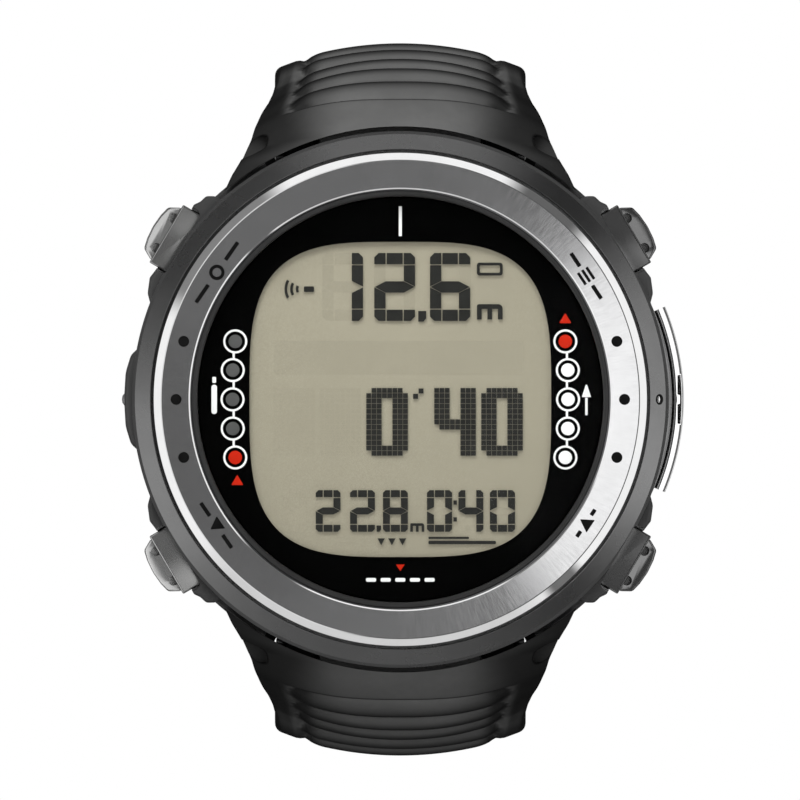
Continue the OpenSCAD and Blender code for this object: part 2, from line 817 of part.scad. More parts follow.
// places a shape (x across, y along the band towards its end) at arc angle a
module on_band(r, a) {
    translate(band_point(r, a)) rotate([-(90 + a), 0, 0]) children();
}
module hood_solid() {
    intersection() {
        extrude_x(-20, 40) polygon(concat(hood_outer, hood_inner));
        translate([0, hood_end_y - hood_crown_r, -10])
            cylinder(r = hood_crown_r, h = 30, $fn = 180);
        translate([0, 0, -10]) linear_extrude(30)
            polygon([for (p = both_sides(hood_plan)) [p[1], p[0]]]);
    }
}
module hood() {
    room_half_w = lug_half_w + 0.25;
    room_r = lug_r + 0.55;
    difference() {
        hood_solid();
        // round clearance to the case, except at the knuckle
        difference() {
            translate([0, 0, -10]) cylinder(r = 24.15, h = 40, $fn = 180);
            translate([-7.3, pin_y - 1.98, 3.6]) cube([14.6, 12, 5.25]);
        }
        for (s = [-1, 1]) {
            // room around the lug of the case
            translate([s * lug_x, 0, 0]) {
                at_pin() rod_x(room_r, -room_half_w, room_half_w);
                translate([-room_half_w, lug_root_y, pin_z - room_r])
                    cube([2 * room_half_w, pin_y - lug_root_y, 2 * room_r]);
            }
            // outside the lug nothing reaches behind the pin below its height
            translate([s * 13.45 - 3.15, 15, -2]) cube([6.3, pin_y - 0.5 - 15, pin_z + 2.1]);
        }
        // pin bore, and access holes in the cheeks
        at_pin() {
            rod_x(1.31, -8, 8);
            rod_x(1.15, -20, 20);
        }
    }
}
module strap_buckle_side() {
    bar_place = band_point(buckle_bend_r, buckle_arc);
    color(rubber) difference() {
        union() {
            hood();
            difference() {
                band(buckle_bend_r, buckle_arc);
                at_buckle() translate([-20, -0.5, -5]) cube([40, 5, 10]);
            }
            translate(bar_place) rod_x(2.0, -band_w / 2, band_w / 2);
        }
        translate(bar_place) rod_x(bar_r + 0.05, -20, 20);
        // slot for the tongue
        at_buckle() translate([-1.7, -3.2, -5]) cube([3.4, 8, 10]);
    }
}
module strap_tail_side() {
    tip_length = 11.2;
    round_start = tail_arc - tip_length * 180 / PI / tail_bend_r;
    first_hole = 0.8;           // degrees before the rounded end starts
    hole_pitch = 3.1;           // degrees
    color(rubber) mirror([0, 1, 0]) difference() {
        union() {
            hood();
            band(tail_bend_r, tail_arc);
        }
        // rounded end
        on_band(tail_bend_r, round_start) difference() {
            translate([-15, 0, -6]) cube([30, 15, 12]);
            translate([0, 0, -7]) cylinder(r = band_w / 2 - 0.01, h = 14);
        }
        for (k = [0:tail_holes - 1])
            on_band(tail_bend_r, round_start - first_hole - k * hole_pitch)
                translate([0, 0, -6]) cylinder(r = tail_hole_r, h = 12, $fn = 24);
    }
}
module lug_tube() {
    at_pin() tube_x(0.8, 1.3, -7.35, 7.35);
}
module lug_tube_buckle_side() {
    color(steel) lug_tube();
}
module lug_tube_tail_side() {
    color(steel) mirror([0, 1, 0]) lug_tube();
}
module lug_screws() {
    color(steel) for (f = [0, 1], s = [0, 1]) flip_y(f == 1) flip_x(s == 1)
        at_pin() difference() {
            union() {
                rod_x(0.75, 0.4, 10.4);
                rod_x(1.05, 10.25, 11.05);
            }
            translate([10.65, -1.5, -0.15]) cube([1, 3, 0.3]);
        }
}

// ---------- buckle ----------
frame_length = 13.3;            // bar to the frame's far end
keeper_in = buckle_bend_r - band_t / 2;
keeper_out = buckle_bend_r + 6.6;

module at_buckle() {
    on_band(buckle_bend_r, buckle_arc) children();
}
module buckle_frame() {
    color(steel) at_buckle() difference() {
        union() {
            for (s = [-1, 1]) extrude_x(s * 12.9 - 1, 2) union() {
                circle(r = 1.9);
                rect(0, -1.15, frame_length, 2.3);
                translate([frame_length, 0]) circle(r = 1.15);
            }
            translate([0, frame_length, 0]) rod_x(1.1, -13, 13);
        }
        rod_x(bar_r + 0.01, -13.6, 13.6);
    }
}
module buckle_tongue() {
    half_w = 1.45;
    color(steel) at_buckle() difference() {
        union() {
            rod_x(1.7, -half_w, half_w);
            extrude_x(-half_w, 2 * half_w) polygon([
                [1.1, -0.3], [0.9, 1.2], [3, 2.1], [7, 2.35], [14.6, 2.35],
                [15.2, 1.8], [15.1, 1.2], [6.5, 1.2], [2.6, 0.3]]);
        }
        rod_x(bar_r + 0.05, -5, 5);
    }
}
module buckle_bar() {
    color(steel) at_buckle() rod_x(bar_r, -13.5, 13.5);
}
// loop around the band from arc angle a0 to a1
module keeper(a0, a1) {
    gap = 0.06;
    band_sweep(buckle_bend_r, a0, a1) difference() {
        polygon(both_sides([
            [keeper_in - 1.3, -12.6], [keeper_in - 0.7, -13],
            [keeper_out - 0.7, -13], [keeper_out, -12.2]]));
        rect(keeper_in - gap, -band_w / 2 - gap, band_t / 2 + 5.3, band_w + 2 * gap);
    }
}
module keeper_fixed() {
    color(rubber) keeper(50, 56.4);
}
module keeper_sliding() {
    color(rubber) keeper(42.6, 49);
}

case_middle();
case_back();
case_back_gasket();
case_back_screws();
battery_cover();
battery_cover_oring();
battery_locking_ring();
battery_cell();
battery_contacts();
bezel_ring();
bezel_marks();
crystal();
crystal_gasket();
dial_mask();
dial_marks_white();
dial_marks_red();
dial_indicators_grey();
lcd_glass();
lcd_segments();
backlight_panel();
module_frame();
zebra_strips();
main_board();
board_components();
antenna_core();
antenna_coil();
module_screws();
button_contacts();
buzzer_disc();
depth_sensor();
depth_sensor_oring();
sensor_cover();
contact_pin();
button_guides();
button_orings();
button_select();
button_mode();
button_down();
button_up();
spring_select();
spring_mode();
spring_down();
spring_up();
clip_select();
clip_mode();
clip_down();
clip_up();
strap_buckle_side();
strap_tail_side();
lug_tube_buckle_side();
lug_tube_tail_side();
lug_screws();
buckle_frame();
buckle_tongue();
buckle_bar();
keeper_fixed();
keeper_sliding();
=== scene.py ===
import math
import bpy
import bmesh
from mathutils import Matrix, Vector


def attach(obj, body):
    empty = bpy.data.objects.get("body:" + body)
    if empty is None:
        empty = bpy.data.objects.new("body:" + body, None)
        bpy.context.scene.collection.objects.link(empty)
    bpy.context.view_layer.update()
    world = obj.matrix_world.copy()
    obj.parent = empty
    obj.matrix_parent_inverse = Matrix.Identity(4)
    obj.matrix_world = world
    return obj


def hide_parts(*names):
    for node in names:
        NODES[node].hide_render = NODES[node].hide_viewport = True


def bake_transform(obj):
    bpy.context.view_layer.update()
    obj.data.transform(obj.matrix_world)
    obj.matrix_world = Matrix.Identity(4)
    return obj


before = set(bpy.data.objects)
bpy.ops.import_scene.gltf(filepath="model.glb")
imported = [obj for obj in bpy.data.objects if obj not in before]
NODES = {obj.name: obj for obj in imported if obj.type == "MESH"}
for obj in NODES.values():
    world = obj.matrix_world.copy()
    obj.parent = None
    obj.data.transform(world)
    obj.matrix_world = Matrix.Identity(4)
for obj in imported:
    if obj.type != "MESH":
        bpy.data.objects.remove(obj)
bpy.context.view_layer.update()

MM = 0.001
scene = bpy.context.scene


# ------------------------------------------------------------------ small geometry kit (millimetres)
def sm(a, b, x):
    """smooth step from 0 at a to 1 at b"""
    t = min(1.0, max(0.0, (x - a) / (b - a)))
    return t * t * (3 - 2 * t)


def rounded(pts, n=5):
    """closed outline with a fillet at each point that carries a radius"""
    out, count = [], len(pts)
    for i, p in enumerate(pts):
        r = p[2] if len(p) > 2 else 0
        q = Vector((p[0], p[1]))
        if r <= 0:
            out.append((q.x, q.y))
            continue
        a = Vector(pts[i - 1][:2]) - q
        b = Vector(pts[(i + 1) % count][:2]) - q
        la, lb = a.length, b.length
        a.normalize()
        b.normalize()
        half = a.angle(b) / 2
        if half > math.radians(89.5) or half < 0.01:
            out.append((q.x, q.y))
            continue
        t = min(r / math.tan(half), 0.48 * la, 0.48 * lb)
        rr = t * math.tan(half)
        c = q + (a + b).normalized() * rr / math.sin(half)
        s, e = q + a * t - c, q + b * t - c
        turn = s.angle_signed(e)
        for k in range(n + 1):
            w = -turn * k / n
            out.append((c.x + s.x * math.cos(w) - s.y * math.sin(w), c.y + s.x * math.sin(w) + s.y * math.cos(w)))
    return out


def area(loop):
    return 0.5 * sum(loop[i - 1][0] * loop[i][1] - loop[i][0] * loop[i - 1][1] for i in range(len(loop)))


def ccw(loop):
    return list(loop) if area(loop) > 0 else list(reversed(loop))


def inset(loop, d):
    """outline moved inwards by d; the loop runs counterclockwise"""
    out, n = [], len(loop)
    for i in range(n):
        p, a, b = Vector(loop[i][:2]), Vector(loop[i - 1][:2]), Vector(loop[(i + 1) % n][:2])
        e1, e2 = (p - a), (b - p)
        if e1.length < 1e-9 or e2.length < 1e-9:
            out.append((p.x, p.y))
            continue
        e1.normalize()
        e2.normalize()
        n1, n2 = Vector((-e1.y, e1.x)), Vector((-e2.y, e2.x))
        m = n1 + n2
        if m.length < 1e-6:
            out.append((p.x, p.y))
            continue
        m.normalize()
        k = d / max(0.35, m.dot(n1))
        out.append((p.x + m.x * k, p.y + m.y * k))
    return out


class Mesh:
    """vertices in millimetres, faces and a material number per face"""

    def __init__(self):
        self.v, self.f, self.m = [], [], []

    def put(self, verts, faces, mi=0, fn=None):
        n = len(self.v)
        verts = [tuple(fn(Vector(p))) if fn else tuple(p) for p in verts]
        self.v += verts
        self.f += [tuple(i + n for i in f) for f in faces]
        self.m += list(mi) if isinstance(mi, list) else [mi] * len(faces)
        return self


def lathe_data(prof, seg=192, a0=0.0, a1=360.0):
    full = abs(a1 - a0 - 360) < 1e-6
    verts, faces, n = [], [], len(prof)
    rows = seg if full else seg + 1
    for i in range(rows):
        a = math.radians(a0 + (a1 - a0) * i / seg)
        verts += [(r * math.cos(a), r * math.sin(a), z) for r, z in prof]
    for i in range(seg):
        k = (i + 1) % rows
        for j in range(n):
            l = (j + 1) % n
            faces.append((i * n + j, k * n + j, k * n + l, i * n + l))
    if not full:
        faces.append(tuple(range(n)))
        faces.append(tuple(reversed(range((rows - 1) * n, rows * n))))
    return verts, faces


def prism_data(loop, z0, z1, bt=0.0, bb=0.0, steps=2):
    """solid from an outline, with rounded top and bottom edges"""
    loop = ccw(loop)
    layers = []
    if bb > 0:
        for k in range(steps + 1):
            w = math.pi / 2 * k / steps
            layers.append((inset(loop, bb * (1 - math.sin(w))), z0 + bb * (1 - math.cos(w))))
    else:
        layers.append((loop, z0))
    if bt > 0:
        for k in range(steps + 1):
            w = math.pi / 2 * k / steps
            layers.append((inset(loop, bt * (1 - math.cos(w))), z1 - bt * (1 - math.sin(w))))
    else:
        layers.append((loop, z1))
    verts, faces, n = [], [], len(loop)
    for lp, z in layers:
        verts += [(x, y, z) for x, y in lp]
    for k in range(len(layers) - 1):
        for i in range(n):
            j = (i + 1) % n
            faces.append((k * n + i, k * n + j, (k + 1) * n + j, (k + 1) * n + i))
    faces.append(tuple(reversed(range(n))))
    faces.append(tuple(range((len(layers) - 1) * n, len(layers) * n)))
    return verts, faces


def circle(r, n=48, cx=0.0, cy=0.0, start=0.0):
    return [(cx + r * math.cos(start + 2 * math.pi * i / n), cy + r * math.sin(start + 2 * math.pi * i / n)) for i in range(n)]


def ring_data(cx, cy, r0, r1, z0, z1, n=48, bev=0.0):
    b = bev
    prof = [(r0, z0), (r1, z0), (r1, z1 - b), (r1 - b, z1), (r0 + b, z1), (r0, z1 - b)] if b else [(r0, z0), (r1, z0), (r1, z1), (r0, z1)]
    v, f = lathe_data(prof, n)
    return [(x + cx, y + cy, z) for x, y, z in v], f


def to_object(name, mesh, mats=()):
    me = bpy.data.meshes.new(name)
    me.from_pydata(mesh.v, [], mesh.f)
    for m in mats:
        me.materials.append(m)
    for p, i in zip(me.polygons, mesh.m):
        p.material_index = i
    bm = bmesh.new()
    bm.from_mesh(me)
    bmesh.ops.remove_doubles(bm, verts=bm.verts, dist=2e-5)
    bmesh.ops.dissolve_degenerate(bm, edges=bm.edges, dist=1e-6)
    bmesh.ops.recalc_face_normals(bm, faces=bm.faces)
    bm.to_mesh(me)
    bm.free()
    o = bpy.data.objects.new(name, me)
    scene.collection.objects.link(o)
    return o


def bake(o):
    bpy.context.view_layer.update()
    dg = bpy.context.evaluated_depsgraph_get()
    me = bpy.data.meshes.new_from_object(o.evaluated_get(dg), depsgraph=dg)
    o.modifiers.clear()
    old = o.data
    o.data = me
    bpy.data.meshes.remove(old)
    me.name = o.name
    return o


def boolean(o, cutters, op="DIFFERENCE"):
    for c in cutters:
        old = o.data.copy()
        dims = Vector(o.dimensions)
        for solver in ("EXACT", "FAST", None):
            if solver is None:
                if op == "UNION":
                    bm = bmesh.new()
                    bm.from_mesh(o.data)
                    bm.from_mesh(c.data)
                    bm.to_mesh(o.data)
                    bm.free()
                break
            m = o.modifiers.new("cut", "BOOLEAN")
            m.operation = op
            m.solver = solver
            m.object = c
            bake(o)
            bpy.context.view_layer.update()
            if len(o.data.vertices) > 0.55 * len(old.vertices) and all(a > 0.6 * b for a, b in zip(o.dimensions, dims)):
                break
            print("boolean repeated:", o.name, c.name, op, solver, len(old.vertices), len(o.data.vertices))
            o.data = old.copy()
    for c in cutters:
        bpy.data.objects.remove(c)
    return o


def bevel(o, width, segments=2, angle=35):
    bm = bmesh.new()
    bm.from_mesh(o.data)
    bmesh.ops.remove_doubles(bm, verts=bm.verts, dist=3e-4)
    bmesh.ops.dissolve_degenerate(bm, edges=bm.edges, dist=3e-4)
    bm.to_mesh(o.data)
    bm.free()
    m = o.modifiers.new("edge", "BEVEL")
    m.width = width
    m.segments = segments
    m.limit_method = "ANGLE"
    m.angle_limit = math.radians(angle)
    m.use_clamp_overlap = True
    m.harden_normals = False
    return bake(o)


def finish_piece(o, body, rep=(), ang=32, mats=None):
    if mats is not None:
        o.data.materials.clear()
        for m in mats:
            o.data.materials.append(m)
    o.data.transform(Matrix.Scale(MM, 4))
    for p in o.data.polygons:
        p.use_smooth = True
    o.data.set_sharp_from_angle(angle=math.radians(ang))
    if body:
        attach(o, body)
    if rep:
        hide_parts(*rep)
    return o


def piece(name, mesh, mats, body, rep=(), ang=32):
    return finish_piece(to_object(name, mesh, mats), body, rep, ang)


# ------------------------------------------------------------------ materials
class Nodes:
    """a thin hand on a node tree"""

    def __init__(self, tree):
        self.t = tree
        tree.nodes.clear()

    def new(self, kind, **sets):
        n = self.t.nodes.new(kind)
        for k, v in sets.items():
            setattr(n, k, v)
        return n

    def link(self, a, b):
        self.t.links.new(a, b)

    def feed(self, sock, val):
        if val is None:
            return
        if isinstance(val, bpy.types.NodeSocket):
            self.link(val, sock)
        else:
            sock.default_value = val

    def math(self, op, a, b=None, c=None, clamp=False):
        n = self.new("ShaderNodeMath", operation=op, use_clamp=clamp)
        for s, v in zip(n.inputs, (a, b, c)):
            self.feed(s, v)
        return n.outputs[0]

    def mapr(self, x, a, b, lo=0.0, hi=1.0, smooth=True):
        n = self.new("ShaderNodeMapRange")
        n.interpolation_type = "SMOOTHSTEP" if smooth else "LINEAR"
        n.clamp = True
        self.feed(n.inputs["Value"], x)
        n.inputs["From Min"].default_value = a
        n.inputs["From Max"].default_value = b
        n.inputs["To Min"].default_value = lo
        n.inputs["To Max"].default_value = hi
        return n.outputs["Result"]

    def mixf(self, fac, a, b):
        n = self.new("ShaderNodeMix", data_type="FLOAT")
        self.feed(n.inputs[0], fac)
        self.feed(n.inputs[2], a)
        self.feed(n.inputs[3], b)
        return n.outputs[0]

    def mixc(self, fac, a, b, blend="MIX"):
        n = self.new("ShaderNodeMix", data_type="RGBA", blend_type=blend)
        self.feed(n.inputs[0], fac)
        self.feed(n.inputs[6], col(a) if isinstance(a, tuple) else a)
        self.feed(n.inputs[7], col(b) if isinstance(b, tuple) else b)
        return n.outputs[2]

    def coords(self, scale=(1, 1, 1), kind="Object"):
        tc = self.new("ShaderNodeTexCoord")
        mp = self.new("ShaderNodeMapping")
        mp.inputs["Scale"].default_value = scale
        self.link(tc.outputs[kind], mp.inputs["Vector"])
        return mp.outputs[0]

    def noise(self, scale, detail=2.0, rough=0.5, vec=None, dist=0.0):
        n = self.new("ShaderNodeTexNoise")
        n.inputs["Scale"].default_value = scale
        n.inputs["Detail"].default_value = detail
        n.inputs["Roughness"].default_value = rough
        n.inputs["Distortion"].default_value = dist
        self.link(vec if vec is not None else self.coords(), n.inputs["Vector"])
        return n.outputs["Fac"]

    def bump(self, height, strength=0.2, distance=0.0001, normal=None):
        n = self.new("ShaderNodeBump")
        n.inputs["Strength"].default_value = strength
        n.inputs["Distance"].default_value = distance
        self.link(height, n.inputs["Height"])
        if normal is not None:
            self.link(normal, n.inputs["Normal"])
        return n.outputs[0]

    def polar(self):
        """azimuth in radians and radius in millimetres about the Z axis"""
        tc = self.new("ShaderNodeTexCoord")
        sp = self.new("ShaderNodeSeparateXYZ")
        self.link(tc.outputs["Object"], sp.inputs[0])
        az = self.math("ARCTAN2", sp.outputs[1], sp.outputs[0])
        r = self.math("SQRT", self.math("ADD", self.math("MULTIPLY", sp.outputs[0], sp.outputs[0]), self.math("MULTIPLY", sp.outputs[1], sp.outputs[1])))
        return az, self.math("MULTIPLY", r, 1000.0), sp.outputs[2]

    def vec(self, x, y, z):
        n = self.new("ShaderNodeCombineXYZ")
        for s, v in zip(n.inputs, (x, y, z)):
            self.feed(s, v)
        return n.outputs[0]


def col(c):
    return (c[0], c[1], c[2], 1.0)


def srgb(v):
    v = v / 255.0
    return v / 12.92 if v <= 0.04045 else ((v + 0.055) / 1.055) ** 2.4


def grey(v):
    g = srgb(v)
    return (g, g, g)


def material(name, base, rough=0.4, metal=0.0, var=0.12, grain=None, brush=None, mottled=25.0, spec=0.5, aniso=0.0,
             edge=0.0, edge_col=None, round_mm=0.0, coat=0.0, wear=0.0, painted_glow=None, sheen=0.0, smear=0.1, painted_side_shade=None):
    """procedural surface.
    painted_side_shade: painted shade, darkening of faces that turn sideways, (x of the normal from, to, amount, z of
    the normal from, to, amount)
    grain: (cells per mm, bump strength, height mm); brush: ("radial" | "ring" | (sx, sy, sz), strength)
    edge: how strongly sharp edges are rubbed bright; round_mm: shading radius on sharp edges"""
    mat = bpy.data.materials.new(name)
    mat.use_nodes = True
    n = Nodes(mat.node_tree)
    out = n.new("ShaderNodeOutputMaterial")
    p = n.new("ShaderNodeBsdfPrincipled")
    n.link(p.outputs[0], out.inputs[0])
    big = n.noise(mottled, 4.0, 0.6)
    fine = n.noise(1400.0, 3.0, 0.6)
    lo = tuple(max(0.0, c * (1 - var)) for c in base)
    hi = tuple(min(1.0, c * (1 + var)) for c in base)
    colour = n.mixc(n.mapr(big, 0.3, 0.7), lo, hi)
    colour = n.mixc(n.mapr(fine, 0.35, 0.75, 0.0, 0.5 * min(1.0, var * 3)), colour, tuple(c * 0.8 for c in base))
    normal = None
    if round_mm > 0 or edge > 0:
        bv = n.new("ShaderNodeBevel")
        bv.samples = 4
        bv.inputs["Radius"].default_value = max(round_mm, 0.08) * MM
        if round_mm > 0:
            normal = bv.outputs[0]
        if edge > 0:
            geo = n.new("ShaderNodeNewGeometry")
            dot = n.new("ShaderNodeVectorMath", operation="DOT_PRODUCT")
            n.link(bv.outputs[0], dot.inputs[0])
            n.link(geo.outputs["Normal"], dot.inputs[1])
            e = n.mapr(dot.outputs["Value"], 0.985, 0.8)
            e = n.math("MULTIPLY", e, n.mapr(n.noise(600.0, 4.0, 0.7), 0.3, 0.65, 0.25, 1.0))
            e = n.math("MULTIPLY", e, edge, clamp=True)
            colour = n.mixc(e, colour, edge_col or tuple(min(1.0, c * 2.2 + 0.02) for c in base))
    if wear > 0:
        w = n.mapr(n.noise(220.0, 6.0, 0.75), 0.62, 0.74, 0.0, wear)
        colour = n.mixc(w, colour, tuple(min(1.0, c * 1.5 + 0.01) for c in base))
    # painted shade: faces that turn sideways or downwards are darkened in the base colour
    if painted_side_shade:
        geo = n.new("ShaderNodeNewGeometry")
        xyz = n.new("ShaderNodeSeparateXYZ")
        n.link(geo.outputs["Normal"], xyz.inputs[0])
        for part, k in ((0, 0), (2, 3)):
            v = n.mapr(n.math("ABSOLUTE", xyz.outputs[part]), painted_side_shade[k], painted_side_shade[k + 1], 0.0, painted_side_shade[k + 2])
            colour = n.mixc(v, colour, (0.0, 0.0, 0.0))
        if len(painted_side_shade) > 6:
            # painted shade on the walls of the screw holes
            at = n.new("ShaderNodeSeparateXYZ")
            n.link(n.coords(), at.inputs[0])
            dy = n.math("SUBTRACT", n.math("ABSOLUTE", at.outputs[1]), painted_side_shade[6] * MM)
            dz = n.math("SUBTRACT", at.outputs[2], painted_side_shade[7] * MM)
            d = n.math("SQRT", n.math("ADD", n.math("MULTIPLY", dy, dy), n.math("MULTIPLY", dz, dz)))
            colour = n.mixc(n.mapr(d, 1.17 * MM, 1.35 * MM, 0.7, 0.0), colour, (0.0, 0.0, 0.0))
    n.link(colour, p.inputs["Base Color"])
    r = n.mapr(n.noise(90.0, 5.0, 0.65), 0.25, 0.75, max(0.02, rough - smear * rough), min(1.0, rough + smear * rough))
    p.inputs["Metallic"].default_value = metal
    p.inputs["Specular IOR Level"].default_value = spec
    p.inputs["Coat Weight"].default_value = coat
    p.inputs["Coat Roughness"].default_value = 0.08
    p.inputs["Sheen Weight"].default_value = sheen
    if grain:
        g = n.noise(grain[0] * 1000.0, 2.0, 0.55)
        normal = n.bump(g, grain[1], grain[2] * MM, normal)
    if brush:
        kind, strength = brush
        if kind in ("radial", "ring"):
            az, rad, z = n.polar()
            if kind == "radial":
                v = n.vec(n.math("MULTIPLY", az, 130.0), n.math("MULTIPLY", rad, 0.6), 0.0)
            else:
                v = n.vec(n.math("MULTIPLY", az, 1.6), n.math("MULTIPLY", rad, 14.0), n.math("MULTIPLY", z, 9000.0))
            b = n.noise(1.0, 3.0, 0.65, v)
        else:
            b = n.noise(1.0, 3.0, 0.65, n.coords(kind))
        r = n.math("ADD", r, n.mapr(b, 0.25, 0.75, -0.25 * rough, 0.25 * rough))
        normal = n.bump(b, strength, 0.02 * MM, normal)
    n.link(r, p.inputs["Roughness"])
    if normal is not None:
        n.link(normal, p.inputs["Normal"])
    if aniso > 0:
        p.inputs["Anisotropic"].default_value = aniso
        tg = n.new("ShaderNodeTangent", direction_type="RADIAL", axis="Z")
        n.link(tg.outputs[0], p.inputs["Tangent"])
    # painted glow: the base colour is also emitted, so the surface glows though it is no lamp
    if painted_glow:
        n.link(colour, p.inputs["Emission Color"])
        p.inputs["Emission Strength"].default_value = painted_glow
    return mat


M = {}
M["bezel_flat"] = material("bezel_brushed_steel", (0.60, 0.60, 0.605), 0.17, 1.0, 0.03, brush=("radial", 0.012), mottled=300, smear=0.15)
M["bezel_edge"] = material("bezel_polished_steel", (0.80, 0.80, 0.80), 0.05, 1.0, 0.02, mottled=400, smear=0.4)
M["bezel_side"] = material("bezel_satin_steel", (0.22, 0.22, 0.225), 0.3, 1.0, 0.06, brush=("ring", 0.05))
M["case"] = material("case_dark_coating", (0.22, 0.22, 0.22), 0.27, 1.0, 0.06, grain=(7.0, 0.22, 0.012), mottled=160, edge=0.15, edge_col=(0.3, 0.3, 0.3), wear=0.04)
# darker copy of the case coating: painted shade, used on the button shoulders, the left boss, the filler blocks and the
# hole walls
M["shoulder"] = material("case_dark_shoulder", (0.055, 0.055, 0.055), 0.5, 0.4, 0.08, grain=(7.0, 0.22, 0.012), mottled=160)
M["guard"] = material("guard_brushed_gunmetal", (0.46, 0.46, 0.455), 0.24, 1.0, 0.05, grain=(9.0, 0.05, 0.006), mottled=200, wear=0.05)
M["cap"] = material("cap_brushed_steel", (0.66, 0.66, 0.655), 0.25, 1.0, 0.05, grain=(9.0, 0.06, 0.006), mottled=200, wear=0.05)
# darker copies of the cap and guard steel for the right-hand buttons: painted shade, the metal is the same on both
# sides
M["cap_right"] = material("cap_brushed_steel_painted_shade_right", (0.20, 0.20, 0.20), 0.25, 1.0, 0.05, grain=(9.0, 0.06, 0.006), mottled=200, wear=0.05)
M["guard_right"] = material("guard_gunmetal_painted_shade_right", (0.22, 0.22, 0.22), 0.24, 1.0, 0.05, grain=(9.0, 0.05, 0.006), mottled=200, wear=0.05)
# near-black copy for the steep faces of caps and guards: painted shade
M["cap_dark"] = material("cap_rim_dark", (0.05, 0.05, 0.05), 0.35, 1.0, 0.1, mottled=200)
M["sensor"] = material("sensor_cover_polished", (0.82, 0.82, 0.82), 0.09, 1.0, 0.03, mottled=300, smear=0.4)
# black paint for the bezel engravings, also used as painted shade on the case faces under the strap hoods
M["black_fill"] = material("engraving_black_paint", (0.006, 0.006, 0.006), 0.7, 0.0, 0.3, grain=(12.0, 0.2, 0.01), mottled=500, spec=0.06)
M["gasket"] = material("crystal_seal_grey", (0.016, 0.016, 0.016), 0.5, 0.0, 0.15, grain=(9.0, 0.2, 0.01), mottled=300)
M["dial"] = material("dial_black_lacquer", (0.0008, 0.0008, 0.0008), 0.6, 0.0, 0.3, grain=(10.0, 0.05, 0.004), mottled=200, spec=0.02)
# the white and red print carry a painted glow (a little emission) on top of their ink colour
M["white"] = material("dial_white_ink", (0.82, 0.82, 0.82), 0.6, 0.0, 0.03, grain=(14.0, 0.15, 0.006), mottled=500, painted_glow=0.18)
M["red"] = material("dial_red_ink", (0.52, 0.020, 0.007), 0.7, 0.0, 0.06, grain=(14.0, 0.15, 0.006), mottled=500, painted_glow=0.1, spec=0.05)
M["grey_ink"] = material("dial_grey_ink", (0.085, 0.085, 0.085), 0.55, 0.0, 0.08, grain=(14.0, 0.15, 0.006), mottled=500)
M["segment"] = material("display_segment_dark", (0.019, 0.019, 0.017), 0.5, 0.0, 0.12, mottled=800, spec=0.3)
M["rubber"] = material("strap_moulded_rubber", (0.086, 0.086, 0.085), 0.7, 0.0, 0.12, grain=(8.0, 0.35, 0.02), mottled=90, spec=0.05, wear=0.04, sheen=0.0)
# the strap's colour carries painted shade: sideways and downward faces and the screw-hole walls are darkened
M["strap"] = material("strap_moulded_rubber_painted_shade", (0.100, 0.100, 0.099), 0.7, 0.0, 0.12, grain=(8.0, 0.35, 0.02), mottled=90, spec=0.05, wear=0.04, sheen=0.0, painted_side_shade=(0.10, 0.62, 0.80, 0.62, 0.15, 0.9, 22.35, 6.5))
M["steel_satin"] = material("satin_steel", (0.56, 0.56, 0.57), 0.3, 1.0, 0.06, grain=(6.0, 0.1, 0.006), edge=0.6, edge_col=(0.85, 0.85, 0.85), round_mm=0.06, wear=0.1)
M["steel_back"] = material("case_back_turned_steel", (0.58, 0.58, 0.59), 0.26, 1.0, 0.05, brush=("ring", 0.18), aniso=0.5, edge=0.5, edge_col=(0.85, 0.85, 0.85), round_mm=0.08, wear=0.1)
M["steel_brushed"] = material("brushed_steel_hatch", (0.5, 0.5, 0.51), 0.3, 1.0, 0.06, brush=("ring", 0.22), aniso=0.4, edge=0.5, edge_col=(0.8, 0.8, 0.8), round_mm=0.08, wear=0.12)
M["steel_buckle"] = material("buckle_brushed_steel", (0.55, 0.55, 0.56), 0.28, 1.0, 0.06, brush=((400, 9000, 9000), 0.15), edge=0.5, edge_col=(0.85, 0.85, 0.85), wear=0.12)
M["screw"] = material("screw_steel", (0.5, 0.5, 0.51), 0.25, 1.0, 0.08, grain=(8.0, 0.15, 0.006), edge=0.7, edge_col=(0.85, 0.85, 0.85), round_mm=0.04, wear=0.15)
M["spring"] = material("spring_steel_wire", (0.5, 0.5, 0.5), 0.3, 1.0, 0.08, grain=(14.0, 0.1, 0.004))
M["cell"] = material("coin_cell_can", (0.62, 0.62, 0.63), 0.22, 1.0, 0.05, brush=("ring", 0.1), round_mm=0.15, edge=0.3, wear=0.08)
M["gold"] = material("gold_plated_contact", (0.75, 0.52, 0.20), 0.3, 1.0, 0.08, grain=(8.0, 0.1, 0.006), round_mm=0.04, edge=0.4, edge_col=(0.9, 0.75, 0.4))
M["seal"] = material("seal_black_rubber", (0.02, 0.02, 0.02), 0.5, 0.0, 0.15, grain=(10.0, 0.25, 0.012), spec=0.4)
M["plastic"] = material("module_white_plastic", (0.62, 0.62, 0.58), 0.5, 0.0, 0.05, grain=(8.0, 0.15, 0.01), round_mm=0.1)
M["backlight"] = material("light_guide_plastic", (0.66, 0.74, 0.66), 0.4, 0.0, 0.05, grain=(12.0, 0.1, 0.01), round_mm=0.06)
M["zebra"] = material("zebra_rubber_strip", (0.16, 0.16, 0.19), 0.6, 0.0, 0.15, brush=((9000, 300, 300), 0.4), round_mm=0.05)
M["board"] = material("board_green_mask", (0.015, 0.11, 0.05), 0.35, 0.0, 0.2, grain=(3.0, 0.15, 0.02), mottled=400, round_mm=0.04, coat=0.3)
M["chip"] = material("chip_black_epoxy", (0.02, 0.02, 0.021), 0.55, 0.0, 0.15, grain=(12.0, 0.3, 0.01), round_mm=0.05)
M["ferrite"] = material("ferrite_rod", (0.06, 0.06, 0.07), 0.45, 0.0, 0.15, grain=(8.0, 0.4, 0.02), round_mm=0.08)
M["copper"] = material("copper_winding", (0.62, 0.24, 0.09), 0.35, 1.0, 0.12, brush=((14000, 200, 200), 0.6), round_mm=0.05)


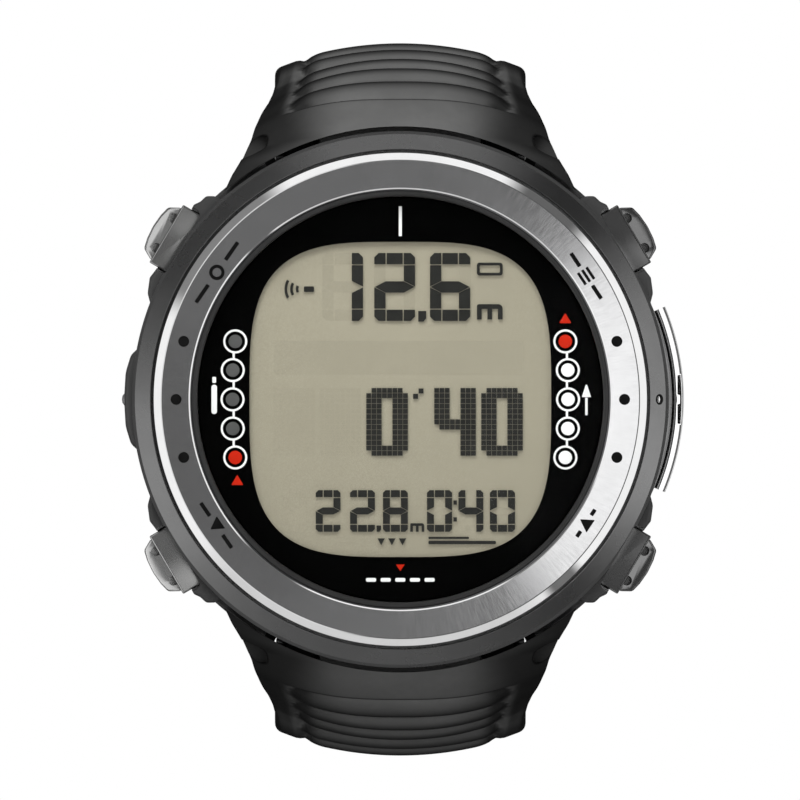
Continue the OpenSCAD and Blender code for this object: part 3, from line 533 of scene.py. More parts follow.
def clear_glass(name, gloss, tint, smudge=0.4):
    mat = bpy.data.materials.new(name)
    mat.use_nodes = True
    n = Nodes(mat.node_tree)
    out = n.new("ShaderNodeOutputMaterial")
    tr = n.new("ShaderNodeBsdfTransparent")
    n.link(n.mixc(n.mapr(n.noise(120.0, 4.0, 0.6), 0.3, 0.7), tint, tuple(c * 0.99 for c in tint)), tr.inputs["Color"])
    gl = n.new("ShaderNodeBsdfGlossy")
    gl.inputs["Color"].default_value = (1, 1, 1, 1)
    n.link(n.mapr(n.noise(70.0, 6.0, 0.7), 0.3, 0.7, 0.02, 0.02 + 0.1 * smudge), gl.inputs["Roughness"])
    n.link(n.bump(n.noise(900.0, 2.0), 0.02, 0.002 * MM), gl.inputs["Normal"])
    lw = n.new("ShaderNodeLayerWeight")
    lw.inputs["Blend"].default_value = 0.12
    fac = n.math("MULTIPLY", n.math("ADD", n.math("MULTIPLY", lw.outputs["Fresnel"], 0.8), 0.002), gloss, clamp=True)
    mx = n.new("ShaderNodeMixShader")
    n.link(fac, mx.inputs[0])
    n.link(tr.outputs[0], mx.inputs[1])
    n.link(gl.outputs[0], mx.inputs[2])
    n.link(mx.outputs[0], out.inputs[0])
    return mat


M["crystal"] = clear_glass("crystal_clear", 0.25, (0.985, 0.99, 0.985))
M["lcd_plate"] = clear_glass("display_plate_clear", 0.1, (0.995, 0.995, 0.99), 0.2)


def lcd_material(name="display_reflector_tan", level=1.0):
    mat = bpy.data.materials.new(name)
    mat.use_nodes = True
    n = Nodes(mat.node_tree)
    out = n.new("ShaderNodeOutputMaterial")
    p = n.new("ShaderNodeBsdfPrincipled")
    base = tuple(v * level for v in (0.290, 0.266, 0.208))
    c = n.mixc(n.mapr(n.noise(9000.0, 2.0, 0.6), 0.3, 0.7), tuple(v * 0.93 for v in base), tuple(v * 1.07 for v in base))
    c = n.mixc(n.mapr(n.noise(60.0, 2.0), 0.3, 0.7), c, tuple(v * 1.02 for v in base))
    n.link(c, p.inputs["Base Color"])
    # painted glow: the display's tan colour is also emitted, so it glows though it has no lamp
    n.link(c, p.inputs["Emission Color"])
    p.inputs["Emission Strength"].default_value = 0.30
    n.link(n.mapr(n.noise(400.0), 0.3, 0.7, 0.55, 0.7), p.inputs["Roughness"])
    p.inputs["Specular IOR Level"].default_value = 0.1
    n.link(n.bump(n.noise(9000.0, 2.0), 0.1, 0.004 * MM), p.inputs["Normal"])
    n.link(p.outputs[0], out.inputs[0])
    return mat


M["lcd"] = lcd_material()


M["ghost"] = lcd_material("display_unlit_tint", 0.955)


# ------------------------------------------------------------------ bezel, crystal and seal
SEG = 256
pict = {
    0: [("ring", 0.4, 0.68)] + [("bar", s * 2.3, 0, 1.9, 0.34) for s in (-1, 1)],
    1: [("bar", 0, k * 0.45, 1.24, 0.24) for k in (-1, 0, 1)] + [("bar", s * 1.72, 0, 1.4, 0.34) for s in (-1, 1)],
    2: [("poly", [(-0.66, 0.5), (0.66, 0.5), (0, -0.62)])] + [("bar", s * 1.72, 0, 1.4, 0.34) for s in (-1, 1)],
    3: [("poly", [(-0.66, -0.5), (0.66, -0.5), (0, 0.62)])] + [("bar", s * 1.15, 0, 0.6, 0.34) for s in (-1, 1)],
}


def marks(grow, z0, z1):
    """the engraved dots and signs of the bezel as solids, grown by a little"""
    m = Mesh()
    for a in (-15, 0, 15, 165, 180, 195):
        w = math.radians(a)
        m.put(*prism_data(circle(0.48 + grow, 32, 19.9 * math.cos(w), 19.9 * math.sin(w)), z0, z1))
    for az, kind in ((145.3, 0), (33.6, 1), (214.4, 2), (-33.7, 3)):
        down = kind in (2, 3)
        R = Matrix.Rotation(math.radians(az + (90 if down else -90)), 4, "Z") @ Matrix.Translation((0, -19.8 if down else 19.8, 0))
        for it in pict[kind]:
            if it[0] == "ring":
                m.put(*ring_data(0, 0, it[1] - grow, it[2] + grow, z0, z1, 32), fn=lambda p: R @ p)
            elif it[0] == "bar":
                _, cx, cy, w, h = it
                w, h = w / 2 + grow, h / 2 + grow
                m.put(*prism_data(rounded([(cx - w, cy - h, 0.06), (cx + w, cy - h, 0.06), (cx + w, cy + h, 0.06), (cx - w, cy + h, 0.06)], 3), z0, z1), fn=lambda p: R @ p)
            else:
                loop = ccw(it[1])
                loop = inset(loop, -grow) if grow else loop
                m.put(*prism_data(rounded([(x, y, 0.05) for x, y in loop], 3), z0, z1), fn=lambda p: R @ p)
    return m


bez = [((17.2, 12.2), 2), ((21.75, 12.2), 2), ((21.9, 12.35), 2), ((21.9, 14.95), 1), ((21.885, 14.99), 1), ((21.28, 15.585), 1), ((21.19, 15.63), 0),
       ((18.79, 15.963), 1), ((18.62, 15.81), 2), ((18.55, 15.78), 2), ((18.55, 13.1), 2), ((17.2, 13.1), 2)]
v, f = lathe_data([p for p, _ in bez], SEG)
bezel = to_object("bezel_ring_visual", Mesh().put(v, f, [bez[i % len(bez)][1] for i in range(len(f))]), (M["bezel_flat"], M["bezel_edge"], M["bezel_side"]))
cut = to_object("cut_marks", marks(0.012, 15.66, 16.4), (M["bezel_flat"], M["bezel_edge"], M["bezel_side"]))
for p in cut.data.polygons:
    p.material_index = 2
boolean(bezel, [cut])
finish_piece(bezel, "case", ["bezel_ring"], 8)
piece("bezel_marks_visual", marks(0.0, 15.67, 15.80), (M["black_fill"],), "case", ["bezel_marks"])
piece("crystal_visual", Mesh().put(*lathe_data([(0, 13.6), (17.9, 13.6), (18.0, 13.7), (18.0, 15.42), (17.93, 15.54), (17.78, 15.66), (17.6, 15.7), (0, 15.7)], SEG)), (M["crystal"],), "case", ["crystal"], 20)
piece("crystal_gasket_visual", Mesh().put(*lathe_data([(18.02, 13.14), (18.53, 13.14), (18.53, 15.72), (18.5, 15.82), (18.42, 15.88), (18.3, 15.89), (18.16, 15.87), (18.05, 15.8), (18.02, 15.72)], SEG)), (M["gasket"],), "case", ["crystal_gasket"], 40)


# ------------------------------------------------------------------ dial
def window(hw, hh, pw, n=320):
    out = []
    for i in range(n):
        a = 2 * math.pi * i / n
        c, s = math.cos(a), math.sin(a)
        k = (abs(c / hw) ** pw + abs(s / hh) ** pw) ** (-1.0 / pw)
        out.append((k * c, k * s))
    return out


w0 = window(13.4, 14.0, 3.5)
w1 = window(13.4 + 0.05, 14.0 + 0.05, 3.5)
w2 = window(13.4 + 0.13, 14.0 + 0.13, 3.5)
n = len(w0)
dm = Mesh()
loops = [(w0, 13.12), (w0, 13.38), (w1, 13.46), (w2, 13.5), (circle(17.9, n), 13.5), (circle(18.0, n), 13.44), (circle(18.0, n), 13.12)]
vv = [(x, y, z) for lp, z in loops for x, y in lp]
ff = []
for k in range(len(loops)):
    for i in range(n):
        j, k2 = (i + 1) % n, (k + 1) % len(loops)
        ff.append((k * n + i, k * n + j, k2 * n + j, k2 * n + i))
dm.put(vv, ff)
piece("dial_mask_visual", dm, (M["dial"],), "case", ["dial_mask"], 30)

ind_y = [5.15, 2.6, 0, -2.59, -5.16]
ind_x = [14.66, 14.88, 14.9, 14.88, 14.66]
Z0, Z1, PB = 13.5, 13.55, 0.02


def flat(m, loop, z0=Z0, z1=Z1, b=PB):
    return m.put(*prism_data(loop, z0, z1, b))


def rect(m, x0, y0, x1, y1, r=0.06, z0=Z0, z1=Z1, b=PB):
    return flat(m, rounded([(x0, y0, r), (x1, y0, r), (x1, y1, r), (x0, y1, r)], 3), z0, z1, b)


def tri(m, cx, cy, s=1):
    return flat(m, rounded([(cx - 0.55, cy - 0.42 * s, 0.06), (cx + 0.55, cy - 0.42 * s, 0.06), (cx, cy + 0.5 * s, 0.06)], 3))


m = Mesh()
rect(m, -0.14, 14.5, 0.14, 17.15, 0.03)
for s in (-1, 1):
    for k in range(5):
        m.put(*ring_data(s * ind_x[k], ind_y[k], 0.88, 1.07, Z0, Z1, 48, 0.02))
    for k in range(4):
        c = (ind_y[k] + ind_y[k + 1]) / 2
        rect(m, s * 14.8 - 0.1, c - 0.25, s * 14.8 + 0.1, c + 0.25, 0.02)
for k in range(1, 5):
    flat(m, circle(0.6, 40, ind_x[k], ind_y[k]))
for k in range(-2, 3):
    rect(m, k * 1.3 - 0.45, -16.2, k * 1.3 + 0.45, -15.86, 0.12)
rect(m, -16.78, -1.3, -16.28, 1.3, 0.22)
rect(m, -16.70, 1.46, -16.36, 2.0, 0.08)
flat(m, rounded([(16.11, 0.2, 0.05), (16.95, 0.2, 0.05), (16.53, 1.5, 0.08)], 3))
rect(m, 16.42, -1.4, 16.64, 0.16, 0.05)
piece("dial_marks_white_visual", m, (M["white"],), "case", ["dial_marks_white"])
m = Mesh()
flat(m, [(-0.40, -14.66), (0.40, -14.66), (0, -15.24)])
flat(m, circle(0.6, 40, ind_x[0], ind_y[0]))
flat(m, circle(0.6, 40, -ind_x[4], ind_y[4]))
tri(m, 14.65, 7.19)
tri(m, -14.48, -7.19)
piece("dial_marks_red_visual", m, (M["red"],), "case", ["dial_marks_red"])
m = Mesh()
for k in range(4):
    flat(m, circle(0.6, 40, -ind_x[k], ind_y[k]))
piece("dial_indicators_grey_visual", m, (M["grey_ink"],), "case", ["dial_indicators_grey"])

# ------------------------------------------------------------------ display
octo = [(14, -9.4), (14, 9.4), (8.8, 14.6), (-8.8, 14.6), (-14, 9.4), (-14, -9.4), (-8.8, -14.6), (8.8, -14.6)]
octo = [(x, y, 0.5) for x, y in octo]
piece("lcd_glass_visual", Mesh().put(*prism_data(rounded(octo, 4), 11.42, 12.72, 0.05, 0.05)), (M["lcd"],), "case", ["lcd_glass"])
piece("lcd_front_plate_visual", Mesh().put(*prism_data(rounded(octo, 4), 12.74, 12.985, 0.04, 0.04)), (M["lcd_plate"],), "case")
SZ0, SZ1 = 12.99, 13.035
LIT = {"0": "abcdef", "1": "bc", "2": "abged", "4": "fgbc", "6": "afgecd", "8": "abcdefg"}


def seg7(m, x0, y0, w, h, t, digit, ghost=False):
    lit = LIT[digit]
    x1, y1, ym = x0 + w, y0 + h, y0 + h / 2
    g, gs, c = 0.05 * (0.6 + 0.4 * t), 0.035, 0.385 * t
    S = lambda loop: flat(m, loop, SZ0, SZ1, 0)
    if "a" in lit or "f" in lit:
        S([(x0, y1 - t), (x0 + t, y1 - t), (x0 + t, y1), (x0 + c, y1), (x0, y1 - c)])
    if "a" in lit or "b" in lit:
        S([(x1 - t, y1 - t), (x1, y1 - t), (x1, y1 - c), (x1 - c, y1), (x1 - t, y1)])
    if "c" in lit or "d" in lit:
        S([(x1 - t, y0), (x1 - c, y0), (x1, y0 + c), (x1, y0 + t), (x1 - t, y0 + t)])
    if "d" in lit or "e" in lit:
        S([(x0 + c, y0), (x0 + t, y0), (x0 + t, y0 + t), (x0, y0 + t), (x0, y0 + c)])
    g2 = 2 * g
    if "a" in lit:
        S([(x0 + t + g2, y1 - t), (x1 - t - g2, y1 - t), (x1 - t - g2, y1), (x0 + t + g2, y1)])
    if "d" in lit:
        S([(x0 + t + g2, y0), (x1 - t - g2, y0), (x1 - t - g2, y0 + t), (x0 + t + g2, y0 + t)])
    if "b" in lit:
        S([(x1 - t, ym + t / 2 + gs), (x1, ym + gs), (x1, y1 - t - g2), (x1 - t, y1 - t - g2)])
    if "c" in lit:
        S([(x1 - t, y0 + t + g2), (x1, y0 + t + g2), (x1, ym - gs), (x1 - t, ym - t / 2 - gs)])
    if "f" in lit:
        S([(x0, ym + gs), (x0 + t, ym + t / 2 + gs), (x0 + t, y1 - t - g2), (x0, y1 - t - g2)])
    if "e" in lit:
        S([(x0, y0 + t + g2), (x0 + t, y0 + t + g2), (x0 + t, ym - t / 2 - gs), (x0, ym - gs)])
    if "g" in lit:
        S([(x0 + 0.04, ym), (x0 + t, ym - t / 2), (x1 - t, ym - t / 2), (x1 - 0.04, ym), (x1 - t, ym + t / 2), (x0 + t, ym + t / 2)])


def small_m(m, x, y, w, h, t):
    """unit sign: three feet under a rounded arch"""
    o = rounded([(x, y), (x + t, y), (x + t, y + h - t), (x + w / 2 - t / 2, y + h - t), (x + w / 2 - t / 2, y), (x + w / 2 + t / 2, y), (x + w / 2 + t / 2, y + h - t), (x + w - t, y + h - t),
                 (x + w - t, y), (x + w, y), (x + w, y + h, t * 0.9), (x, y + h, t * 0.4)], 4)
    flat(m, o, SZ0, SZ1, 0)


CELL = 0.4655
ZERO = [range(1, 7), range(0, 8)] + [[0, 1, 2, 5, 6, 7]] * 9 + [range(0, 8), range(1, 7)]
FOUR = [[0, 1, 2, 5, 6, 7]] * 6 + [range(0, 8), range(1, 8)] + [[5, 6, 7]] * 5


def dots(m, x0, y0, rows, gap=0.018):
    for r, cols in enumerate(rows):
        y = y0 + (12 - r) * CELL
        for c in cols:
            x = x0 + c * CELL
            flat(m, [(x + gap, y + gap), (x + CELL - gap, y + gap), (x + CELL - gap, y + CELL - gap), (x + gap, y + CELL - gap)], SZ0, SZ1, 0)


m = Mesh()
S = lambda loop: flat(m, loop, SZ0, SZ1, 0)
seg7(m, -6.93, 6.97, 3.62, 6.04, 1.0, "1")
seg7(m, -2.31, 6.97, 3.62, 6.04, 1.0, "2")
S([(1.59, 6.91), (2.05, 6.91), (2.30, 7.2), (2.30, 7.85), (1.59, 7.85)])
seg7(m, 2.64, 6.97, 3.57, 6.04, 1.0, "6")
small_m(m, 6.81, 7.1, 2.28, 1.36, 0.42)
# a frame, signal arcs and a dash in place of words
o = rounded([(6.8, 11.0, 0.25), (9.1, 11.0, 0.25), (9.1, 12.15, 0.25), (6.8, 12.15, 0.25)], 4)
oi = rounded([(7.05, 11.25, 0.12), (8.85, 11.25, 0.12), (8.85, 11.9, 0.12), (7.05, 11.9, 0.12)], 4)
no = len(o)
vv = [(x, y, z) for z in (SZ0, SZ1) for lp in (o, oi) for x, y in lp]
ff = []
for i in range(no):
    j = (i + 1) % no
    ff += [(i, j, no + j, no + i), (2 * no + i, 2 * no + j, 3 * no + j, 3 * no + i), (i, j, 2 * no + j, 2 * no + i), (no + i, no + j, 3 * no + j, 3 * no + i)]
m.put(vv, ff)
for k in (0.55, 1.05, 1.55):
    arc = [(-8.62 + r * math.cos(math.radians(a)), 9.8 + r * math.sin(math.radians(a))) for r, rng in ((k - 0.12, range(150, 211, 6)), (k + 0.12, range(210, 149, -6))) for a in rng]
    S(arc)
rect(m, -8.57, 9.55, -7.66, 10.04, 0.1, SZ0, SZ1, 0)
dots(m, -3.04, -5.02, ZERO)
dots(m, 3.00, -5.02, FOUR)
dots(m, 7.17, -5.02, ZERO)
for x, y in ((1.62, 0.525), (1.14, 0.05)):
    S([(x, y), (x + 0.44, y), (x + 0.44, y + 0.45), (x, y + 0.45)])
for x, w, d in ((-7.51, 2.19, "2"), (-4.46, 2.2, "2"), (-1.54, 2.21, "8"), (2.37, 2.23, "0"), (5.16, 2.21, "4"), (7.96, 2.23, "0")):
    seg7(m, x, -11.76, w, 3.70, 0.62, d)
S([(-2.11, -11.76), (-1.85, -11.76), (-1.7, -11.55), (-1.7, -11.2), (-2.11, -11.2)])
small_m(m, 0.88, -11.76, 1.25, 0.76, 0.24)
for y in (-9.35, -10.85):
    S([(4.72, y), (5.03, y), (5.03, y + 0.38), (4.72, y + 0.38)])
for k in (-1, 0, 1):
    S([(-0.75 + k * 0.95 - 0.33, -12.34), (-0.75 + k * 0.95, -12.95), (-0.75 + k * 0.95 + 0.33, -12.34)])
rect(m, 2.5, -12.86, 8.5, -12.56, 0.1, SZ0, SZ1, 0)
rect(m, 2.5, -12.4, 6.1, -12.2, 0.06, SZ0, SZ1, 0)
piece("lcd_segments_visual", m, (M["segment"],), "case", ["lcd_segments"])
SZ0, SZ1 = 12.715, 12.728
m = Mesh()
for x in (-6.93, -2.31, 2.64):
    seg7(m, x, 6.97, 3.62, 6.04, 1.0, "8")
for x in (-10.5, -7.51, -4.46, -1.54, 2.37, 5.16, 7.96):
    seg7(m, x, -11.76, 2.2, 3.70, 0.62, "8")
for x in (-11.3, -7.2):
    dots(m, x, -5.02, [range(0, 8)] * 13, 0.03)
rect(m, -11.2, 2.2, 11.0, 5.2, 0.3, SZ0, SZ1, 0)
piece("lcd_unlit_visual", m, (M["ghost"],), "case")


# ------------------------------------------------------------------ case middle
BX, BY, BZ, BA = -20.93, 14.79, 7.0, math.radians(149.5)


def button_fn(sx, sy):
    def fn(p):
        x = BX + p[0] * math.cos(BA) - p[1] * math.sin(BA)
        y = BY + p[0] * math.sin(BA) + p[1] * math.cos(BA)
        return Vector((x if sx < 0 else -x, y if sy > 0 else -y, BZ + p[2]))
    return fn


def along(axis_fn, loop, s0, s1, b0=0.0, b1=0.0):
    """prism along X: loop given in (y, z)"""
    v, f = prism_data(loop, s0, s1, b1, b0)
    return [axis_fn(Vector((z, x, y))) for x, y, z in v], f


ident = lambda p: Vector(p)
case_prof = [(17.5, 1.78), (22.95, 1.78), (22.95, 0.68), (23.02, 0.6), (23.18, 0.6), (23.3, 0.68), (23.8, 1.5), (23.85, 1.65), (23.85, 12.40), (23.84, 12.52), (23.58, 12.96), (22.25, 13.96), (22.2, 13.975), (22.16, 13.95), (22.15, 13.88), (22.15, 12.15), (17.5, 12.15)]
body = to_object("case_middle_visual", Mesh().put(*lathe_data(case_prof, SEG)), (M["case"], M["shoulder"]))
shoulder = [(-7.2, -5.15, 0), (-2.2, -5.1, 0.8), (-1.5, -4.7, 0.5), (-1.3, -4.0, 0.5), (-0.95, -3.5, 0.4), (-0.95, 3.3, 0.4), (-0.85, 4.1, 0.4), (-1.4, 5.4, 1.0), (-2.2, 6.2, 0.4), (-7.2, 6.2, 0)]
adds, cuts = [], []


def solid(v, f, mi=0):
    o = to_object("tmp", Mesh().put(v, f, mi), (M["case"], M["shoulder"]))
    for p in o.data.polygons:
        p.material_index = mi
    return o


# button shoulders in the painted-shade copy of the case coating
for sx in (-1, 1):
    for sy in (-1, 1):
        fn = button_fn(sx, sy)
        v, f = prism_data(rounded(shoulder, 4), 3.2 - BZ, 11.4 - BZ, 0.35, 0.35, 3)
        adds.append(solid([fn(p) for p in v], f, 1))
bul = [(3.9 + 20.25 * math.cos(math.radians(a)), 20.25 * math.sin(math.radians(a))) for a in [i * 0.9 - 24.2 for i in range(55)]]
bul = [(18, -8.3)] + bul + [(18, 8.3)]
adds.append(solid(*prism_data(bul, 3.45, 11.55, 0.25, 0.25, 3), 0))
# left boss in the painted-shade copy of the case coating
boss = rounded([(-18, 4.9), (-23.1, 4.75, 0.6), (-23.95, 3.95, 1.2), (-24.42, 2.4, 3.0), (-24.56, 0, 8.0), (-24.42, -2.4, 3.0), (-23.95, -3.95, 1.2), (-23.1, -4.75, 0.6), (-18, -4.9)], 5)
adds.append(solid(*prism_data(boss, 3.45, 11.55, 0.55, 0.4, 4), 1))
# dark filler blocks beside the lugs, under the gap to the strap hoods where only shade falls: painted shade
for az in (47.0, 117.5, 227.0, 297.5):
    v, f = lathe_data([(23.4, 3.1), (24.2, 3.1), (24.45, 3.35), (24.45, 5.7), (24.2, 5.95), (23.4, 5.95)], 20, az, az + 15.5)
    adds.append(solid(v, f, 1))
for sy in (-1, 1):
    for sx in (-1, 1):
        loop = [(17, 4.6), (22.35, 4.6)] + [(22.35 + 1.9 * math.cos(math.radians(a)), 6.5 + 1.9 * math.sin(math.radians(a))) for a in range(-80, 81, 10)] + [(22.35, 8.4), (17, 8.4)]
        v, f = along(ident, loop, 7.55, 10.15, 0.2, 0.2)
        adds.append(solid([(sx * p[0], sy * p[1], p[2]) for p in v], f, 0))
boolean(body, adds, "UNION")
cuts.append(solid(*prism_data(circle(19.0, 160), -1, 30)))
cuts.append(solid(*prism_data(circle(22.95, 192), -1, 1.76)))
v, f = lathe_data([(19.45, 1.5), (20.45, 1.5), (20.45, 2.6), (19.45, 2.6)], 160)
cuts.append(solid(v, f))
m = Mesh()
for a in (25, 155, 205, 335):
    w = math.radians(a)
    m.put(*prism_data(circle(0.52, 20, 21.6 * math.cos(w), 21.6 * math.sin(w)), 1, 3.5))
m.put(*prism_data([(23.02 + 0.33 * math.cos(i * math.pi / 16), 0.48 * math.sin(i * math.pi / 16)) for i in range(32)], 12.5, 16))
cuts.append(to_object("tmp", m, (M["case"], M["shoulder"])))
# the walls of these holes take the painted-shade copy of the case coating
for p in cuts[-1].data.polygons:
    p.material_index = 1
for sy in (-1, 1):
    v, f = prism_data([(-7.45, 20.2), (7.45, 20.2), (7.45, 26.2), (-7.45, 26.2)], 3.4, 9.6)
    cuts.append(solid([(p[0], sy * p[1], p[2]) for p in v], f))
    v, f = along(ident, circle(0.8, 28, 22.35, 6.5), -14, 14)
    cuts.append(solid([(p[0], sy * p[1], p[2]) for p in v], f))
    for sx in (-1, 1):
        v, f = along(ident, circle(1.12, 28, 22.35, 6.5), 10.2, 12.2)
        cuts.append(solid([(sx * p[0], sy * p[1], p[2]) for p in v], f))
for sx in (-1, 1):
    for sy in (-1, 1):
        fn = button_fn(sx, sy)
        v, f = prism_data(rounded([(-2.75, -3.05, 0.3), (3.25, -3.05), (3.25, 3.05), (-2.75, 3.05, 0.3)], 4), -3.35, 3.35)
        cuts.append(solid([fn(p) for p in v], f))
        v, f = prism_data(rounded([(-1.9, -3.25, 0.5), (3.25, -3.25), (3.25, 3.25), (-1.9, 3.25, 0.5)], 4), 3.1, 6.0)
        cuts.append(solid([fn(p) for p in v], f))
        v, f = along(fn, circle(1.87, 40), -8, -2)
        cuts.append(solid(v, f))
v, f = along(ident, circle(3.2, 48, 0, 7), 17, 26)
cuts.append(solid(v, f))
v, f = along(ident, circle(0.62, 24, 0, 7), -26, -17)
cuts.append(solid(v, f))
boolean(body, cuts)
unit = 1000.0 if body.dimensions.x < 1 else 1.0
# painted shade: the outer faces of the lug blocks under the strap hoods are coloured with the black engraving paint
body.data.materials.append(M["black_fill"])
for p in body.data.polygons:
    c = p.center * unit
    if math.hypot(c.x, c.y) > 23.86 and c.z < 9 and abs(c.x) < 12 and abs(c.y) > 16:
        p.material_index = 2
finish_piece(body, "case", ["case_middle"], 14)

piece("case_plug_visual", Mesh().put(*prism_data([(22.93 + 0.17 * math.cos(i * math.pi / 16), 0.34 * math.sin(i * math.pi / 16)) for i in range(32)], 12.48, 13.1, 0.06)), (M["cap"],), "case")

# contact pin with a rounded tip
m = Mesh()
v, f = lathe_data([(0, -24.78), (0.3, -24.74), (0.5, -24.6), (0.585, -24.4), (0.6, -24.2), (0.6, -18.8), (1.15, -18.75), (1.2, -18.68), (1.2, -18.27), (1.13, -18.2), (0, -18.2)], 40)
m.put([(p[2], p[0], p[1] + 7) for p in v], f)
piece("contact_pin_visual", m, (M["steel_satin"],), "case", ["contact_pin"], 30)

# sensor cover
prof = [(20.3, 4.2), (20.42, 4.05), (21.15, 4.05), (21.3, 4.2), (21.3, 10.42), (21.27, 10.52), (21.19, 10.58), (20.62, 10.68), (20.5, 10.66), (20.36, 10.5), (20.3, 10.35)]
v, f = lathe_data(prof, 80, -22.8, 22.8)
sc = to_object("sensor_cover_visual", Mesh().put([(x + 3.9, y, z) for x, y, z in v], f), ())
cres = [(3.9 + 21.12 * math.cos(math.radians(a)), 21.12 * math.sin(math.radians(a))) for a in [i * 0.35 - 6.3 for i in range(37)]]
cres = [p for p in cres if p[0] > 24.62 and abs(p[1]) < 2.3]
cres = [(24.64, -2.15)] + cres + [(24.64, 2.15), (24.64, 0.45), (24.86, 0.38), (24.86, -0.38), (24.64, -0.45)]
v, f = prism_data(ccw(cres), 6, 12)
c1 = to_object("tmp", Mesh().put(v, f), ())
v, f = along(ident, circle(0.7, 32, 0, 7), 23, 26)
c2 = to_object("tmp", Mesh().put(v, f), ())
boolean(sc, [c1, c2])
finish_piece(sc, "case", ["sensor_cover"], 30, [M["sensor"]])


# ------------------------------------------------------------------ buttons and guards
def rrect(hw, hh, n=48, pw=6.0):
    out = []
    for i in range(n):
        a = 2 * math.pi * (i + 0.5) / n
        c, s = math.cos(a), math.sin(a)
        k = (abs(c) ** pw + abs(s) ** pw) ** (-1.0 / pw)
        out.append((hw * c * k, hh * s * k))
    return out


def loft_x(rows, fn):
    """rows: [x, loop in (y, z)] -> closed solid"""
    n = len(rows[0][1])
    v = [fn(Vector((x, p[0], p[1]))) for x, lp in rows for p in lp]
    f = []
    for k in range(len(rows) - 1):
        for i in range(n):
            j = (i + 1) % n
            f.append((k * n + i, k * n + j, (k + 1) * n + j, (k + 1) * n + i))
    f.append(tuple(range(n)))
    f.append(tuple(range((len(rows) - 1) * n, len(rows) * n)))
    return v, f


cap_plan = [(-0.95, -2.63, 0), (0.0, -2.63, 0.3), (0.92, -2.12, 0.5), (1.14, -1.2, 0.8), (1.24, 0, 3.0), (1.14, 1.2, 0.8), (0.92, 2.12, 0.5), (0.0, 2.63, 0.3), (-0.95, 2.63, 0)]
stem_prof = [(0, -7.4), (0.62, -7.4), (0.74, -7.36), (0.8, -7.26), (0.8, -6.95), (0.62, -6.93), (0.62, -6.62), (0.8, -6.6), (0.8, -0.85), (0, -0.85)]
cap_v, cap_f = prism_data(rounded(cap_plan, 5), -2.45, 2.45, 0.2, 0.2, 4)


def cap_fn(fn, p):
    """the cap gets thinner towards its outer edge"""
    k = 1 - 0.2 * sm(0.1, 1.3, p[0])
    return fn(Vector((p[0], p[1], p[2] * k)))


names = {(-1, 1): "select", (1, 1): "mode", (-1, -1): "down", (1, -1): "up"}
guard = None
for (sx, sy), nm in names.items():
    fn = button_fn(sx, sy)
    cap = to_object("button_%s_visual" % nm, Mesh().put([cap_fn(fn, p) for p in cap_v], cap_f), ())
    v, f = lathe_data(stem_prof, 40)
    stem = to_object("tmp", Mesh().put([fn(Vector((p[2], p[0], p[1]))) for p in v], f), ())
    boolean(cap, [stem], "UNION")
    cs = []
    for s in (-1, 1):
        v, f = prism_data(circle(0.45, 28, 0, s * 1.53), 0.9, 4)
        cs.append(to_object("tmp", Mesh().put([fn(Vector(p)) for p in v], f), ()))
    boolean(cap, cs)
    # right-hand caps take the darker copy of the steel: painted shade
    cap.data.materials.append(M["cap_right" if sx > 0 else "cap"])
    cap.data.materials.append(M["cap_dark"])
    # faces turned more than about 60 degrees from up get the near-black painted shade
    for p in cap.data.polygons:
        p.material_index = 1 if p.normal.z < 0.5 else 0
    finish_piece(cap, "press_" + nm, ["button_" + nm], 40)
    g = to_object("tmp_g", Mesh().put(*[[fn(p) for p in q] if i == 0 else q for i, q in enumerate(prism_data(rounded([(-2.7, -3.0, 0.25), (-0.12, -3.0, 0.12), (-0.12, 2.95, 0.12), (-2.7, 2.95, 0.25)], 4), -3.3, 3.3, 0.16, 0.16, 3))]), ())
    v, f = lathe_data([(0, -6.5), (1.72, -6.5), (1.85, -6.37), (1.85, -2.5), (0, -2.5)], 40)
    tube = to_object("tmp", Mesh().put([fn(Vector((p[2], p[0], p[1]))) for p in v], f), ())
    boolean(g, [tube], "UNION")
    cs = []
    v, f = prism_data(rounded([(-1.95, -2.75, 0.4), (1.2, -2.75), (1.2, 2.75), (-1.95, 2.75, 0.4)], 4), -2.57, 2.57)
    cs.append(to_object("tmp", Mesh().put([fn(Vector(p)) for p in v], f), ()))
    for r, x0, x1 in ((0.85, -8, 0.5), (1.5, -3.9, -1.7), (1.45, -5.35, -4.75)):
        v, f = along(fn, circle(r, 32), x0, x1)
        cs.append(to_object("tmp", Mesh().put(v, f), ()))
    boolean(g, cs)
    if guard is None:
        guard = g
        guard.name = "button_guides_visual"
    else:
        bm = bmesh.new()
        bm.from_mesh(guard.data)
        bm.from_mesh(g.data)
        bm.to_mesh(guard.data)
        bm.free()
        bpy.data.objects.remove(g)
guard.data.materials.clear()
guard.data.materials.append(M["guard"])
guard.data.materials.append(M["cap_dark"])
guard.data.materials.append(M["guard_right"])
# steep guard faces get the near-black painted shade; faces on the right-hand side get the darker painted-shade copy of
# the gunmetal
for p in guard.data.polygons:
    p.material_index = 1 if p.normal.z < 0.45 else (2 if p.center.x > 0 else 0)
finish_piece(guard, "case", ["button_guides"], 35)


